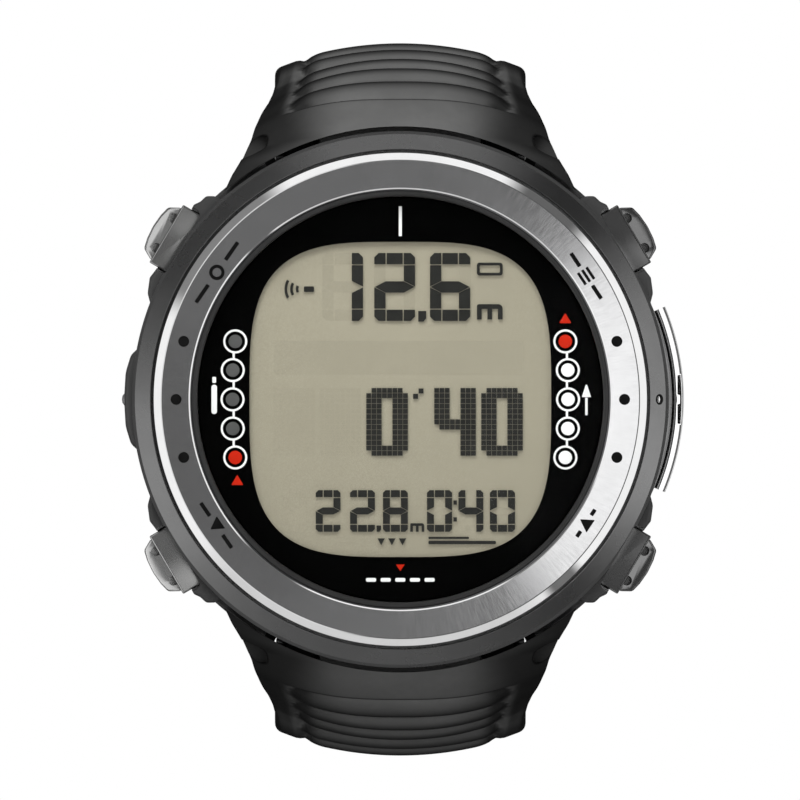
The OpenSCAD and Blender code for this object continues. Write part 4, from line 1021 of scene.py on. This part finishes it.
# ------------------------------------------------------------------ strap halves
HOOD = [((16.8, 12.5), (16.2, 4.55)), ((18.4, 12.5), (17.7, 4.55)), ((20.2, 12.5), (19.3, 4.55)), ((22, 12.4), (20.8, 4.5)), ((23.5, 12.02), (21.8, 4.45)), ((24.8, 11.15), (22.6, 4.35)), ((25.8, 10.15), (23.1, 4.2)), ((26.7, 9.0), (23.6, 3.9)),
        ((27.65, 7.45), (24.1, 3.35)), ((28.6, 5.6), (24.9, 2.5)), ((29.5, 3.35), (25.8, 1.2)), ((30.4, 0.4), (26.9, -0.7)), ((31.1, -2.1), (27.65, -2.5)), ((31.6, -4.6), (28.2, -4.6))]
PLAN = [(17.0, 16.4), (18.5, 15.75), (18.9, 15.5), (20, 15), (21, 14.4), (22.1, 13.8), (23.1, 13.2), (24.2, 12.7), (25.3, 12.26), (26.3, 11.8), (27.4, 11.46), (28.5, 11.2), (60, 11.2)]


def lerp_table(tab, x):
    if x <= tab[0][0]:
        return tab[0][1]
    for (a, p), (b, q) in zip(tab, tab[1:]):
        if x <= b:
            return p + (q - p) * (x - a) / (b - a)
    return tab[-1][1]


def catmull(p0, p1, p2, p3, t):
    return tuple(0.5 * ((2 * b) + (c - a) * t + (2 * a - 5 * b + 4 * c - d) * t * t + (-a + 3 * b - 3 * c + d) * t ** 3) for a, b, c, d in zip(p0, p1, p2, p3))


def strap_half(name, R, arc_deg, sgn, body_name, node, tail):
    cy, cz = 29.9 - R, -4.0
    arc_pt = lambda deg, r: (cy + r * math.cos(math.radians(deg)), cz - r * math.sin(math.radians(deg)))
    a_start = 0.6 / R * 57.3
    pairs = list(HOOD)
    d0 = a_start
    pairs[-1] = (arc_pt(d0, R + 1.7), arc_pt(d0, R - 1.7))
    ctrl = pairs + [(arc_pt(d0 + 1.5, R + 1.7), arc_pt(d0 + 1.5, R - 1.7))]
    rows = []
    for i in range(1, len(pairs) - 1):
        k = 12 if i >= 4 else 5
        for j in range(k):
            t = j / k
            O = catmull(*[ctrl[q][0] for q in (i - 1, i, i + 1, i + 2)], t)
            I = catmull(*[ctrl[q][1] for q in (i - 1, i, i + 1, i + 2)], t)
            rows.append([O, I])
    deg = d0
    while deg < arc_deg - 1e-6:
        rows.append([arc_pt(deg, R + 1.7), arc_pt(deg, R - 1.7)])
        deg += (0.25 if deg < 8 else 0.45) * (90.0 / R)
    rows.append([arc_pt(arc_deg, R + 1.7), arc_pt(arc_deg, R - 1.7)])
    # path length along the outer face
    s, L = 0.0, [0.0]
    for (a, _), (b, _) in zip(rows, rows[1:]):
        s += math.dist(a, b)
        L.append(s)

    def length_at(test):
        for i, (r, l) in enumerate(zip(rows, L)):
            if test(r[0]):
                return l
        return L[-1]
    grooves = [length_at(lambda p, y=y: p[0] >= y) for y in (26.64, 28.37, 29.57, 30.37)]
    while grooves[-1] < grooves[0] + 28:
        grooves.append(grooves[-1] + 3.1)
    ends = [9.65, 9.35, 9.05, 8.75, 8.5, 8.2, 7.9, 7.5, 7.0, 6.4]
    s_hood, s_band = length_at(lambda p: p[0] >= 23.4), length_at(lambda p: p[1] <= -3.0)
    tip_s = L[-1] - 11.2 if tail else None
    NX, NF = 64, 5
    verts, n_row = [], None
    for (O, I), l in zip(rows, L):
        d = Vector((I[0] - O[0], I[1] - O[1]))
        T = d.length
        d.normalize()
        k = sm(s_hood, s_band, l)
        D = 7.3 * (1 - k) + 2.05 * k
        if O[0] < 24.2:
            D = min(D, lerp_table([(17.0, 4.0), (18.5, 4.1), (20.0, 4.3), (21.5, 4.7), (22.2, 5.3), (23.0, 6.4), (23.6, 7.1), (24.2, 7.3)], O[0]))
        pw = 3.0 * (1 - k) + 2.0 * k
        e_l = lerp_table([((grooves[q] + grooves[q + 1]) / 2, ends[min(q, len(ends) - 1)]) for q in range(len(grooves) - 1)], l)
        y_edge = O[0] + d.x * D * 0.9 if l < s_band + 3 else 40
        w = lerp_table(PLAN, y_edge)
        if tail and l > tip_s:
            u = min(0.9995, (l - tip_s) / 11.2)
            w = 11.2 * math.sqrt(1 - u * u) + 0.05
        fr = min(0.55 + 0.35 * k, (T - D) * (0.42 + 0.24 * k), w * 0.3)
        D = min(D, T - 0.9)
        Dw = D * min(1.0, (w / 11.2) ** 2)
        slope = Dw * pw / w
        al = math.atan(slope)
        xe = w - fr * (1 - math.sin(al))
        ne = Dw * (xe / w) ** pw

        def outer(x):
            h = Dw * (abs(x) / w) ** pw
            zone = sm(grooves[0] - 0.05, grooves[0] + 0.25, l) * (1 - sm(grooves[-1] - 0.3, grooves[-1], l))
            lift = sm(e_l - 0.3, e_l + 0.8, abs(x))
            base = zone * (-0.32 * (1 - lift) + 0.06 * lift * (1 - sm(9.0, 10.8, abs(x))))
            rib = -9.0
            if grooves[0] <= l < grooves[-1]:
                for gi in range(len(grooves) - 1):
                    if grooves[gi] <= l <= grooves[gi + 1]:
                        c, hh = (grooves[gi] + grooves[gi + 1]) / 2, (grooves[gi + 1] - grooves[gi]) / 2
                        e = ends[min(gi, len(ends) - 1)]
                        dx = max(0.0, abs(x) - (e - hh * 1.15)) / 1.15
                        q = math.hypot(dx, l - c) / hh
                        if q < 1:
                            rib = 0.58 * math.sqrt(1 - q * q) - 0.32
            return h - max(base, rib)
        sec = []
        for i in range(NX + 1):
            x = -xe + 2 * xe * i / NX
            sec.append((x, outer(x)))
        for i in range(1, NF + 1):
            th = al + (math.pi / 2 - al) * i / NF
            sec.append((xe + fr * (math.sin(th) - math.sin(al)), ne + fr * (math.cos(al) - math.cos(th))))
        bot = T
        fb = min(0.35, w * 0.3)
        for i in range(NF + 1):
            th = math.pi / 2 * i / NF
            sec.append((w - fb + fb * math.cos(th), max(bot - fb + fb * math.sin(th), sec[NX + NF][1] + 0.01 * (i + 1))))
        nb = 14
        for i in range(1, nb):
            x = (w - fb) * (1 - 2 * i / nb)
            sec.append((x, bot))
        mirror = [(-x, nn) for x, nn in reversed(sec[NX + 1:NX + NF * 2 + 2])]
        sec += mirror
        if n_row is None:
            n_row = len(sec)
        for x, nn in sec:
            p = Vector(O) + d * nn
            verts.append((x, sgn * p.x, p.y))
    faces, nr = [], len(rows)
    for r in range(nr - 1):
        for i in range(n_row):
            j = (i + 1) % n_row
            faces.append((r * n_row + i, r * n_row + j, (r + 1) * n_row + j, (r + 1) * n_row + i))
    faces.append(tuple(range(n_row)))
    faces.append(tuple(range((nr - 1) * n_row, nr * n_row)))
    o = to_object(name, Mesh().put(verts, faces), ())
    flip = lambda v: [(p[0], sgn * p[1], p[2]) for p in v]
    cs = []

    def cutter(v, f):
        cs.append(to_object("tmp", Mesh().put(flip(v), f), ()))
    cutter(*prism_data(circle(24.27, 256), -10, 40))
    cutter(*prism_data(circle(24.98, 256), -10, 6.35))
    for sx in (-1, 1):
        fx = lambda v, f, sx=sx: cutter([(sx * p[0], p[1], p[2]) for p in v], f)
        fx(*prism_data([(10.2, 12), (17.5, 12), (17.5, 21.2), (10.2, 21.2)], -2, 6.3))
        room = [(15, 4.3), (22.35, 4.3)] + [(22.35 + 2.2 * math.cos(math.radians(a)), 6.5 + 2.2 * math.sin(math.radians(a))) for a in range(-80, 81, 10)] + [(22.35, 8.7), (15, 8.7)]
        fx(*along(ident, room, 7.3, 10.35))
        fx(*along(ident, circle(1.15, 40, 22.35, 6.5), 9.5, 20))
    cutter(*along(ident, circle(1.31, 40, 22.35, 6.5), -8, 8))
    if tail:
        for q in range(9):
            a = math.radians(arc_deg - 11.2 * 180 / math.pi / R - 0.8 - q * 3.1)
            oy, oz = cy + R * math.cos(a), cz - R * math.sin(a)
            nrm, tan = Vector((0, math.cos(a), -math.sin(a))), Vector((0, -math.sin(a), -math.cos(a)))
            v, f = lathe_data([(0, -6), (1.3, -6), (1.3, 6), (0, 6)], 40)
            pts = [Vector((p[0], 0, 0)) + tan * p[1] + nrm * p[2] + Vector((0, oy, oz)) for p in v]
            cutter([tuple(p) for p in pts], f)
            # soft rim round the hole on the outer face
            v, f = lathe_data([(0, 1.35), (1.28, 1.35), (1.6, 1.72), (1.7, 3.0), (0, 3.0)], 40)
            pts = [Vector((p[0], 0, 0)) + tan * p[1] + nrm * p[2] + Vector((0, oy, oz)) for p in v]
            cutter([tuple(p) for p in pts], f)
    else:
        a = math.radians(arc_deg)
        oy, oz = cy + R * math.cos(a), cz - R * math.sin(a)
        nrm, tan = Vector((0, math.cos(a), -math.sin(a))), Vector((0, -math.sin(a), -math.cos(a)))
        place = lambda x, s_, n_: tuple(Vector((x, oy, oz)) + tan * s_ + nrm * n_)
        v, f = prism_data(rounded([(-11.3, -3.0), (11.3, -3.0), (11.3, 3.0), (-11.3, 3.0)], 1), -5, 5)
        v, f = prism_data([(-30, -0.4), (30, -0.4), (30, 6), (-30, 6)], -6, 6)
        cutter([place(p[0], p[1], p[2]) for p in v], f)
    boolean(o, cs)
    adds = []
    # the part between the lugs
    kn = rounded([(20.95, 4.1, 0.5), (22.35, 3.6, 0.9), (24.6, 4.2, 0.3), (25.4, 5.4, 0.3), (25.0, 9.0, 0.3), (20.5, 8.85, 0.5)], 4)
    v, f = along(ident, kn, -7.3, 7.3, 0.25, 0.25)
    kb = to_object(name + "_knuckle", Mesh().put(flip(v), f), ())
    v, f = along(ident, circle(1.31, 40, 22.35, 6.5), -8, 8)
    boolean(kb, [to_object("tmp", Mesh().put(flip(v), f), ())])
    adds.append(kb)
    if not tail:
        v, f = lathe_data([(0.95, -11.2), (1.9, -11.2), (2.0, -11.1), (2.0, 11.1), (1.9, 11.2), (0.95, 11.2)], 48)
        kk = to_object("tmp_k", Mesh().put([place(p[2], p[0], p[1]) for p in v], f), ())
        v, f = prism_data([(-1.7, -3.2), (1.7, -3.2), (1.7, 6), (-1.7, 6)], -5, 5)
        slot_v = [place(p[0], p[1], p[2]) for p in v]
        boolean(kk, [to_object("tmp", Mesh().put(slot_v, f), ())])
        bore, bf = lathe_data([(0, -30), (0.95, -30), (0.95, 30), (0, 30)], 40)
        boolean(o, [to_object("tmp", Mesh().put(slot_v, f), ()), to_object("tmp", Mesh().put([place(p[2], p[0], p[1]) for p in bore], bf), ())])
        adds.append(kk)
    boolean(o, adds, "UNION")
    return finish_piece(o, body_name, [node], 50, [M["strap"]])


strap_half("strap_buckle_side_visual", 45.0, 61.2, 1, "buckle_half", "strap_buckle_side", False)
strap_half("strap_tail_side_visual", 110.0, 44.3, -1, "tail_half", "strap_tail_side", True)


# ------------------------------------------------------------------ buckle, keepers
def band_frame(R, deg):
    a = math.radians(deg)
    oy, oz = 29.9 - R + R * math.cos(a), -4 - R * math.sin(a)
    nrm, tan = Vector((0, math.cos(a), -math.sin(a))), Vector((0, -math.sin(a), -math.cos(a)))
    return lambda x, s, n: tuple(Vector((x, oy, oz)) + tan * s + nrm * n)


bk = band_frame(45.0, 61.2)


def sweep(points, section, up=Vector((0, 0, 1)), closed=False):
    """sweeps a section (list of (side, up)) along points; local coordinates"""
    n, k = len(section), len(points)
    v, f = [], []
    for i, p in enumerate(points):
        a = Vector(points[i - 1]) if (i or closed) else Vector(p)
        b = Vector(points[(i + 1) % k]) if (i < k - 1 or closed) else Vector(p)
        t = (b - a).normalized()
        side = t.cross(up).normalized()
        u2 = side.cross(t).normalized()
        cosb = 1.0
        v += [tuple(Vector(p) + side * s * cosb + u2 * q) for s, q in section]
    for i in range(k - (0 if closed else 1)):
        for j in range(n):
            l, i2 = (j + 1) % n, (i + 1) % k
            f.append((i * n + j, i * n + l, i2 * n + l, i2 * n + j))
    if not closed:
        f.append(tuple(range(n)))
        f.append(tuple(range((k - 1) * n, k * n)))
    return v, f


# frame: a U of rounded bar with eyes at its ends; local (x across, s along, n out)
path = [(12.9, -0.0)] + [(12.9, i * 1.0) for i in range(1, 10)] + [(12.9 - 2.6 * (1 - math.cos(math.radians(a))), 10.6 + 2.7 * math.sin(math.radians(a))) for a in range(0, 91, 9)]
path += [(x, 13.3) for x in [9.5 - i * 1.0 for i in range(10)]]
full_path = path + [(-x, s) for x, s in reversed(path)]
sec = [(1.0 * math.copysign(abs(math.cos(a)) ** 0.6, math.cos(a)), 1.12 * math.copysign(abs(math.sin(a)) ** 0.6, math.sin(a))) for a in [2 * math.pi * i / 24 for i in range(24)]]
v, f = sweep([(x, s, 0) for x, s in full_path], sec)
fr = to_object("buckle_frame_visual", Mesh().put([bk(*p) for p in v], f), ())
adds = []
for sx in (-1, 1):
    v, f = lathe_data([(0, 11.9), (1.75, 11.9), (1.9, 12.05), (1.9, 13.75), (1.75, 13.9), (0, 13.9)], 48)
    adds.append(to_object("tmp", Mesh().put([bk(sx * p[2], p[0], p[1]) for p in v], f), ()))
boolean(fr, adds, "UNION")
v, f = lathe_data([(0, -15), (0.91, -15), (0.91, 15), (0, 15)], 40)
boolean(fr, [to_object("tmp", Mesh().put([bk(p[2], p[0], p[1]) for p in v], f), ())])
finish_piece(fr, "buckle", ["buckle_frame"], 40, [M["steel_buckle"]])
v, f = lathe_data([(0, -13.5), (0.6, -13.5), (0.8, -13.44), (0.9, -13.3), (0.9, 13.3), (0.8, 13.44), (0.6, 13.5), (0, 13.5)], 40)
piece("buckle_bar_visual", Mesh().put([bk(p[2], p[0], p[1]) for p in v], f), (M["steel_satin"],), "buckle", ["buckle_bar"], 40)
ton = rounded([(1.1, -0.3, 0.2), (2.6, 0.3, 0.8), (6.5, 1.2, 2.0), (15.05, 1.2, 0.3), (15.25, 1.7, 0.4), (14.6, 2.35, 0.5), (7, 2.35, 2.0), (3, 2.1, 1.0), (0.9, 1.25, 0.3)], 5)
v, f = prism_data(ton, -1.42, 1.42, 0.3, 0.3, 3)
tg = to_object("buckle_tongue_visual", Mesh().put([bk(z, x, y) for x, y, z in v], f), ())
v, f = lathe_data([(0, -1.45), (1.5, -1.45), (1.7, -1.25), (1.7, 1.25), (1.5, 1.45), (0, 1.45)], 48)
boolean(tg, [to_object("tmp", Mesh().put([bk(p[2], p[0], p[1]) for p in v], f), ())], "UNION")
v, f = lathe_data([(0, -5), (0.95, -5), (0.95, 5), (0, 5)], 40)
boolean(tg, [to_object("tmp", Mesh().put([bk(p[2], p[0], p[1]) for p in v], f), ())])
finish_piece(tg, "tongue", ["buckle_tongue"], 40, [M["steel_buckle"]])


def keeper(name, a0, a1, body_name, node):
    outer = rounded([(-13.0, -3.0, 1.3), (13.0, -3.0, 1.3), (13.0, 6.6, 1.6), (-13.0, 6.6, 1.6)], 6)
    inner = rounded([(-11.26, -1.76, 0.7), (11.26, -1.76, 0.7), (11.26, 5.24, 1.0), (-11.26, 5.24, 1.0)], 6)
    inner = ccw(inner)
    outer = ccw(outer)
    R, cy = 45.0, 29.9 - 45.0
    n = len(outer)
    e = 0.28 / R * 57.3
    stations = [(a0, 0.30), (a0 + 0.3 * e, 0.12), (a0 + e, 0.0)] + [(a0 + e + (a1 - a0 - 2 * e) * i / 6, 0.0) for i in range(1, 6)] + [(a1 - e, 0.0), (a1 - 0.3 * e, 0.12), (a1, 0.30)]
    v, f = [], []
    for a, b in stations:
        w = math.radians(a)
        for lp, g in ((outer, b), (inner, -b * 0.5)):
            for x, q in inset(lp, g):
                r = R + q
                v.append((x, cy + r * math.cos(w), -4 - r * math.sin(w)))
    for k in range(len(stations) - 1):
        for h in (0, 1):
            for i in range(n):
                j = (i + 1) % n
                A, B = k * 2 * n + h * n, (k + 1) * 2 * n + h * n
                f.append((A + i, A + j, B + j, B + i))
    for k in (0, len(stations) - 1):
        A = k * 2 * n
        for i in range(n):
            j = (i + 1) % n
            f.append((A + i, A + j, A + n + j, A + n + i))
    piece(name, Mesh().put(v, f), (M["rubber"],), body_name, [node], 45)


keeper("keeper_fixed_visual", 50.0, 56.4, "buckle_half", "keeper_fixed")
keeper("keeper_sliding_visual", 42.6, 48.8, "slider", "keeper_sliding")

# ------------------------------------------------------------------ springs
for (sx, sy), nm in names.items():
    fn = button_fn(sx, sy)
    pts, turns, N = [], 4.5, 150
    x0, x1 = -3.72, -1.2
    for i in range(N + 1):
        t = i / N
        tt = max(0.0, min(1.0, (t - 0.1) / 0.8))
        a = 2 * math.pi * turns * t
        pts.append(fn(Vector((x0 + (x1 - x0) * tt, 1.2 * math.cos(a), 1.2 * math.sin(a)))))
    v, f = [], []
    K = 10
    for i, p in enumerate(pts):
        a = pts[max(0, i - 1)]
        b = pts[min(N, i + 1)]
        t = (b - a).normalized()
        ax = (fn(Vector((1, 0, 0))) - fn(Vector((0, 0, 0)))).normalized()
        s1 = t.cross(ax).normalized()
        s2 = s1.cross(t).normalized()
        for k in range(K):
            w = 2 * math.pi * k / K
            v.append(tuple(p + (s1 * math.cos(w) + s2 * math.sin(w)) * 0.165))
    for i in range(N):
        for k in range(K):
            l = (k + 1) % K
            f.append((i * K + k, i * K + l, (i + 1) * K + l, (i + 1) * K + k))
    f.append(tuple(range(K)))
    f.append(tuple(range(N * K, (N + 1) * K)))
    o = piece("spring_%s_visual" % nm, Mesh().put(v, f), (M["spring"],), None, ["spring_" + nm], 60)
    P = fn(Vector((x0, 0, 0))) * MM
    Q = fn(Vector((x1, 0, 0))) * MM
    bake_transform(o)


# ------------------------------------------------------------------ turned seals
def torus_data(R, r, n=96, k=16):
    return lathe_data([(R + r * math.cos(2 * math.pi * i / k), r * math.sin(2 * math.pi * i / k)) for i in range(k)], n)


v, f = torus_data(19.95, 0.42, 160)
piece("case_back_gasket_visual", Mesh().put([(x, y, z + 2.13) for x, y, z in v], f), (M["seal"],), "case", ["case_back_gasket"], 60)
v, f = torus_data(14.6, 0.4, 128)
piece("battery_cover_oring_visual", Mesh().put([(x, y, z + 2.0) for x, y, z in v], f), (M["seal"],), "case", ["battery_cover_oring"], 60)
v, f = torus_data(2.9, 0.3, 64)
piece("depth_sensor_oring_visual", Mesh().put([(20.25 + z, x, 7 + y) for x, y, z in v], f), (M["seal"],), "case", ["depth_sensor_oring"], 60)
m = Mesh()
for (sx, sy), nm in names.items():
    fn = button_fn(sx, sy)
    v, f = torus_data(1.15, 0.3, 48, 14)
    m.put([fn(Vector((-5.05 + z, x, y))) for x, y, z in v], f)
piece("button_orings_visual", m, (M["seal"],), "case", ["button_orings"], 60)
# antenna winding: turns of wire round the rod
prof, R0 = [], 1.17
turns = 26
for i in range(turns):
    for k in range(7):
        w = math.pi * (1 - k / 6.0)
        prof.append((R0 + 0.2 + 0.15 * math.sin(w), -4 + 8.0 * (i + 0.5 + 0.5 * math.cos(w)) / turns))
prof = [(R0, -4.0)] + prof + [(R0, 4.0)]
v, f = lathe_data(prof, 32)
piece("antenna_coil_visual", Mesh().put([(z, -15.6 + x, 6.4 + y) for x, y, z in v], f), (M["copper"],), "case", ["antenna_coil"], 50)


# ------------------------------------------------------------------ materials of the carried-over CAD nodes
def paint(node, key, bev=0.0, seg=2):
    o = NODES[node]
    o.data.materials.clear()
    o.data.materials.append(M[key])
    if bev:
        md = o.modifiers.new("edge", "BEVEL")
        md.width = bev * MM
        md.segments = seg
        md.limit_method = "ANGLE"
        md.angle_limit = math.radians(40)
        md.use_clamp_overlap = True


for node, key in {"case_back": "steel_back", "case_back_screws": "screw", "battery_cover": "steel_brushed", "battery_locking_ring": "steel_satin", "battery_cell": "cell", "battery_contacts": "gold",
                  "backlight_panel": "backlight", "module_frame": "plastic", "zebra_strips": "zebra", "main_board": "board", "board_components": "chip", "antenna_core": "ferrite", "module_screws": "screw",
                  "button_contacts": "gold", "buzzer_disc": "gold", "depth_sensor": "steel_satin", "clip_select": "screw", "clip_mode": "screw", "clip_down": "screw", "clip_up": "screw",
                  "lug_tube_buckle_side": "steel_satin", "lug_tube_tail_side": "steel_satin", "lug_screws": "screw"}.items():
    paint(node, key, 0.05 if key in ("gold", "chip", "backlight", "zebra", "ferrite") else 0)

# ------------------------------------------------------------------ floor, camera, world and lights
floor = bpy.data.objects.new("floor", bpy.data.meshes.new("floor"))
bm = bmesh.new()
bmesh.ops.create_grid(bm, x_segments=4, y_segments=4, size=3.0)
bm.to_mesh(floor.data)
bm.free()
floor.location = (0, 0, -0.086)
scene.collection.objects.link(floor)
mat = bpy.data.materials.new("floor_pale")
mat.use_nodes = True
n = Nodes(mat.node_tree)
out = n.new("ShaderNodeOutputMaterial")
lp = n.new("ShaderNodeLightPath")
geo = n.new("ShaderNodeNewGeometry")
em = n.new("ShaderNodeEmission")
em.inputs["Color"].default_value = (1, 1, 1, 1)
em.inputs["Strength"].default_value = 1.0
df = n.new("ShaderNodeBsdfDiffuse")
n.link(n.mixc(n.mapr(n.noise(40.0), 0.3, 0.7), (0.20, 0.20, 0.20), (0.22, 0.22, 0.22)), df.inputs["Color"])
tr = n.new("ShaderNodeBsdfTransparent")
m1 = n.new("ShaderNodeMixShader")
n.link(lp.outputs["Is Camera Ray"], m1.inputs[0])
n.link(df.outputs[0], m1.inputs[1])
n.link(em.outputs[0], m1.inputs[2])
m2 = n.new("ShaderNodeMixShader")
n.link(geo.outputs["Backfacing"], m2.inputs[0])
n.link(m1.outputs[0], m2.inputs[1])
n.link(tr.outputs[0], m2.inputs[2])
n.link(m2.outputs[0], out.inputs[0])
floor.data.materials.append(mat)

cam = bpy.data.objects.new("camera", bpy.data.cameras.new("camera"))
cam.data.type = "PERSP"
cam.data.lens = 1500
cam.data.sensor_width = 36
cam.data.clip_start = 0.1
cam.data.clip_end = 10
cam.location = (-0.000027, -0.000053, 2.974)
scene.collection.objects.link(cam)
scene.camera = cam
scene.view_settings.view_transform = "Standard"
scene.view_settings.look = "None"

world = bpy.data.worlds.new("studio")
scene.world = world
world.use_nodes = True
world.cycles.sampling_method = "NONE"
n = Nodes(world.node_tree)
out = n.new("ShaderNodeOutputWorld")
tc = n.new("ShaderNodeTexCoord")
nv = n.new("ShaderNodeVectorMath", operation="NORMALIZE")
n.link(tc.outputs["Generated"], nv.inputs[0])
sp = n.new("ShaderNodeSeparateXYZ")
n.link(nv.outputs[0], sp.inputs[0])
dx, dy, dz = sp.outputs
tdeg = n.math("MULTIPLY", n.math("ARCCOSINE", dz), 57.29578)
hl = n.math("MAXIMUM", n.math("SQRT", n.math("ADD", n.math("MULTIPLY", dx, dx), n.math("MULTIPLY", dy, dy))), 1e-5)
ux, uy = n.math("DIVIDE", dx, hl), n.math("DIVIDE", dy, hl)


def lobe(az, half, soft, level):
    """level within half degrees of azimuth az, fading over soft degrees"""
    c = n.math("ADD", n.math("MULTIPLY", ux, math.cos(math.radians(az))), n.math("MULTIPLY", uy, math.sin(math.radians(az))))
    ang = n.math("MULTIPLY", n.math("ARCCOSINE", n.math("MINIMUM", n.math("MAXIMUM", c, -1.0), 1.0)), 57.29578)
    return n.mapr(ang, half - soft / 2, half + soft / 2, level, 0.0)


def add(*terms):
    r = terms[0]
    for t in terms[1:]:
        r = n.math("ADD", r, t)
    return r


# level of the studio panels on four belts of height, by direction
A = add(lobe(-8, 45, 9, 1.35), n.math("ADD", lobe(100, 60, 30, 0.04), 0.17), lobe(275, 30, 20, 0.05))
B = add(lobe(180, 78, 12, 0.75), n.math("ADD", lobe(90, 14, 14, 0.1), 0.12))
C = add(n.math("ADD", lobe(0, 28, 27, 0.97), 0.06), lobe(88, 21, 20, 0.50), lobe(200, 25, 40, 1.0), lobe(266, 28, 30, 0.22), lobe(338, 14, 20, 0.35))
Dd = n.math("SUBTRACT", n.math("SUBTRACT", n.math("SUBTRACT", n.math("SUBTRACT", 1.1, lobe(52, 10, 8, 0.95)), lobe(139, 18, 9, 0.83)), lobe(312, 4.5, 4, 0.9)), lobe(262, 42, 16, 0.33))
sel = A
for lo, hi, nxt in ((32, 40, B), (60, 66, C), (81, 84, Dd)):
    sel = n.mixf(n.mapr(tdeg, lo, hi), sel, nxt)
glossy = n.math("MULTIPLY", sel, n.mapr(tdeg, 4.0, 7.0))
glossy = n.math("MULTIPLY", glossy, n.mapr(tdeg, 97, 101, 1.0, 0.35))
diffuse = n.math("MAXIMUM", n.math("MULTIPLY", n.mapr(tdeg, 0, 80, 1.75, 0.10), add(n.math("MULTIPLY", dy, 0.35), n.math("MULTIPLY", dx, -0.08), 1.0)), 0.03)
lp = n.new("ShaderNodeLightPath")
level = n.mixf(lp.outputs["Is Glossy Ray"], diffuse, glossy)
level = n.mixf(lp.outputs["Is Camera Ray"], level, 1.0)
bg = n.new("ShaderNodeBackground")
n.link(level, bg.inputs["Strength"])
bg.inputs["Color"].default_value = (1, 1, 1, 1)
n.link(bg.outputs[0], out.inputs[0])

key = bpy.data.lights.new("key", "AREA")
key.shape = "DISK"
key.size = 0.12
key.energy = 0.35
ko = bpy.data.objects.new("key", key)
ko.location = (-0.03, 0.15, 0.17)
ko.rotation_euler = (Vector((0, 0, 0.01)) - Vector(ko.location)).to_track_quat("-Z", "Y").to_euler()
ko.visible_glossy = False
ko.visible_camera = False
scene.collection.objects.link(ko)
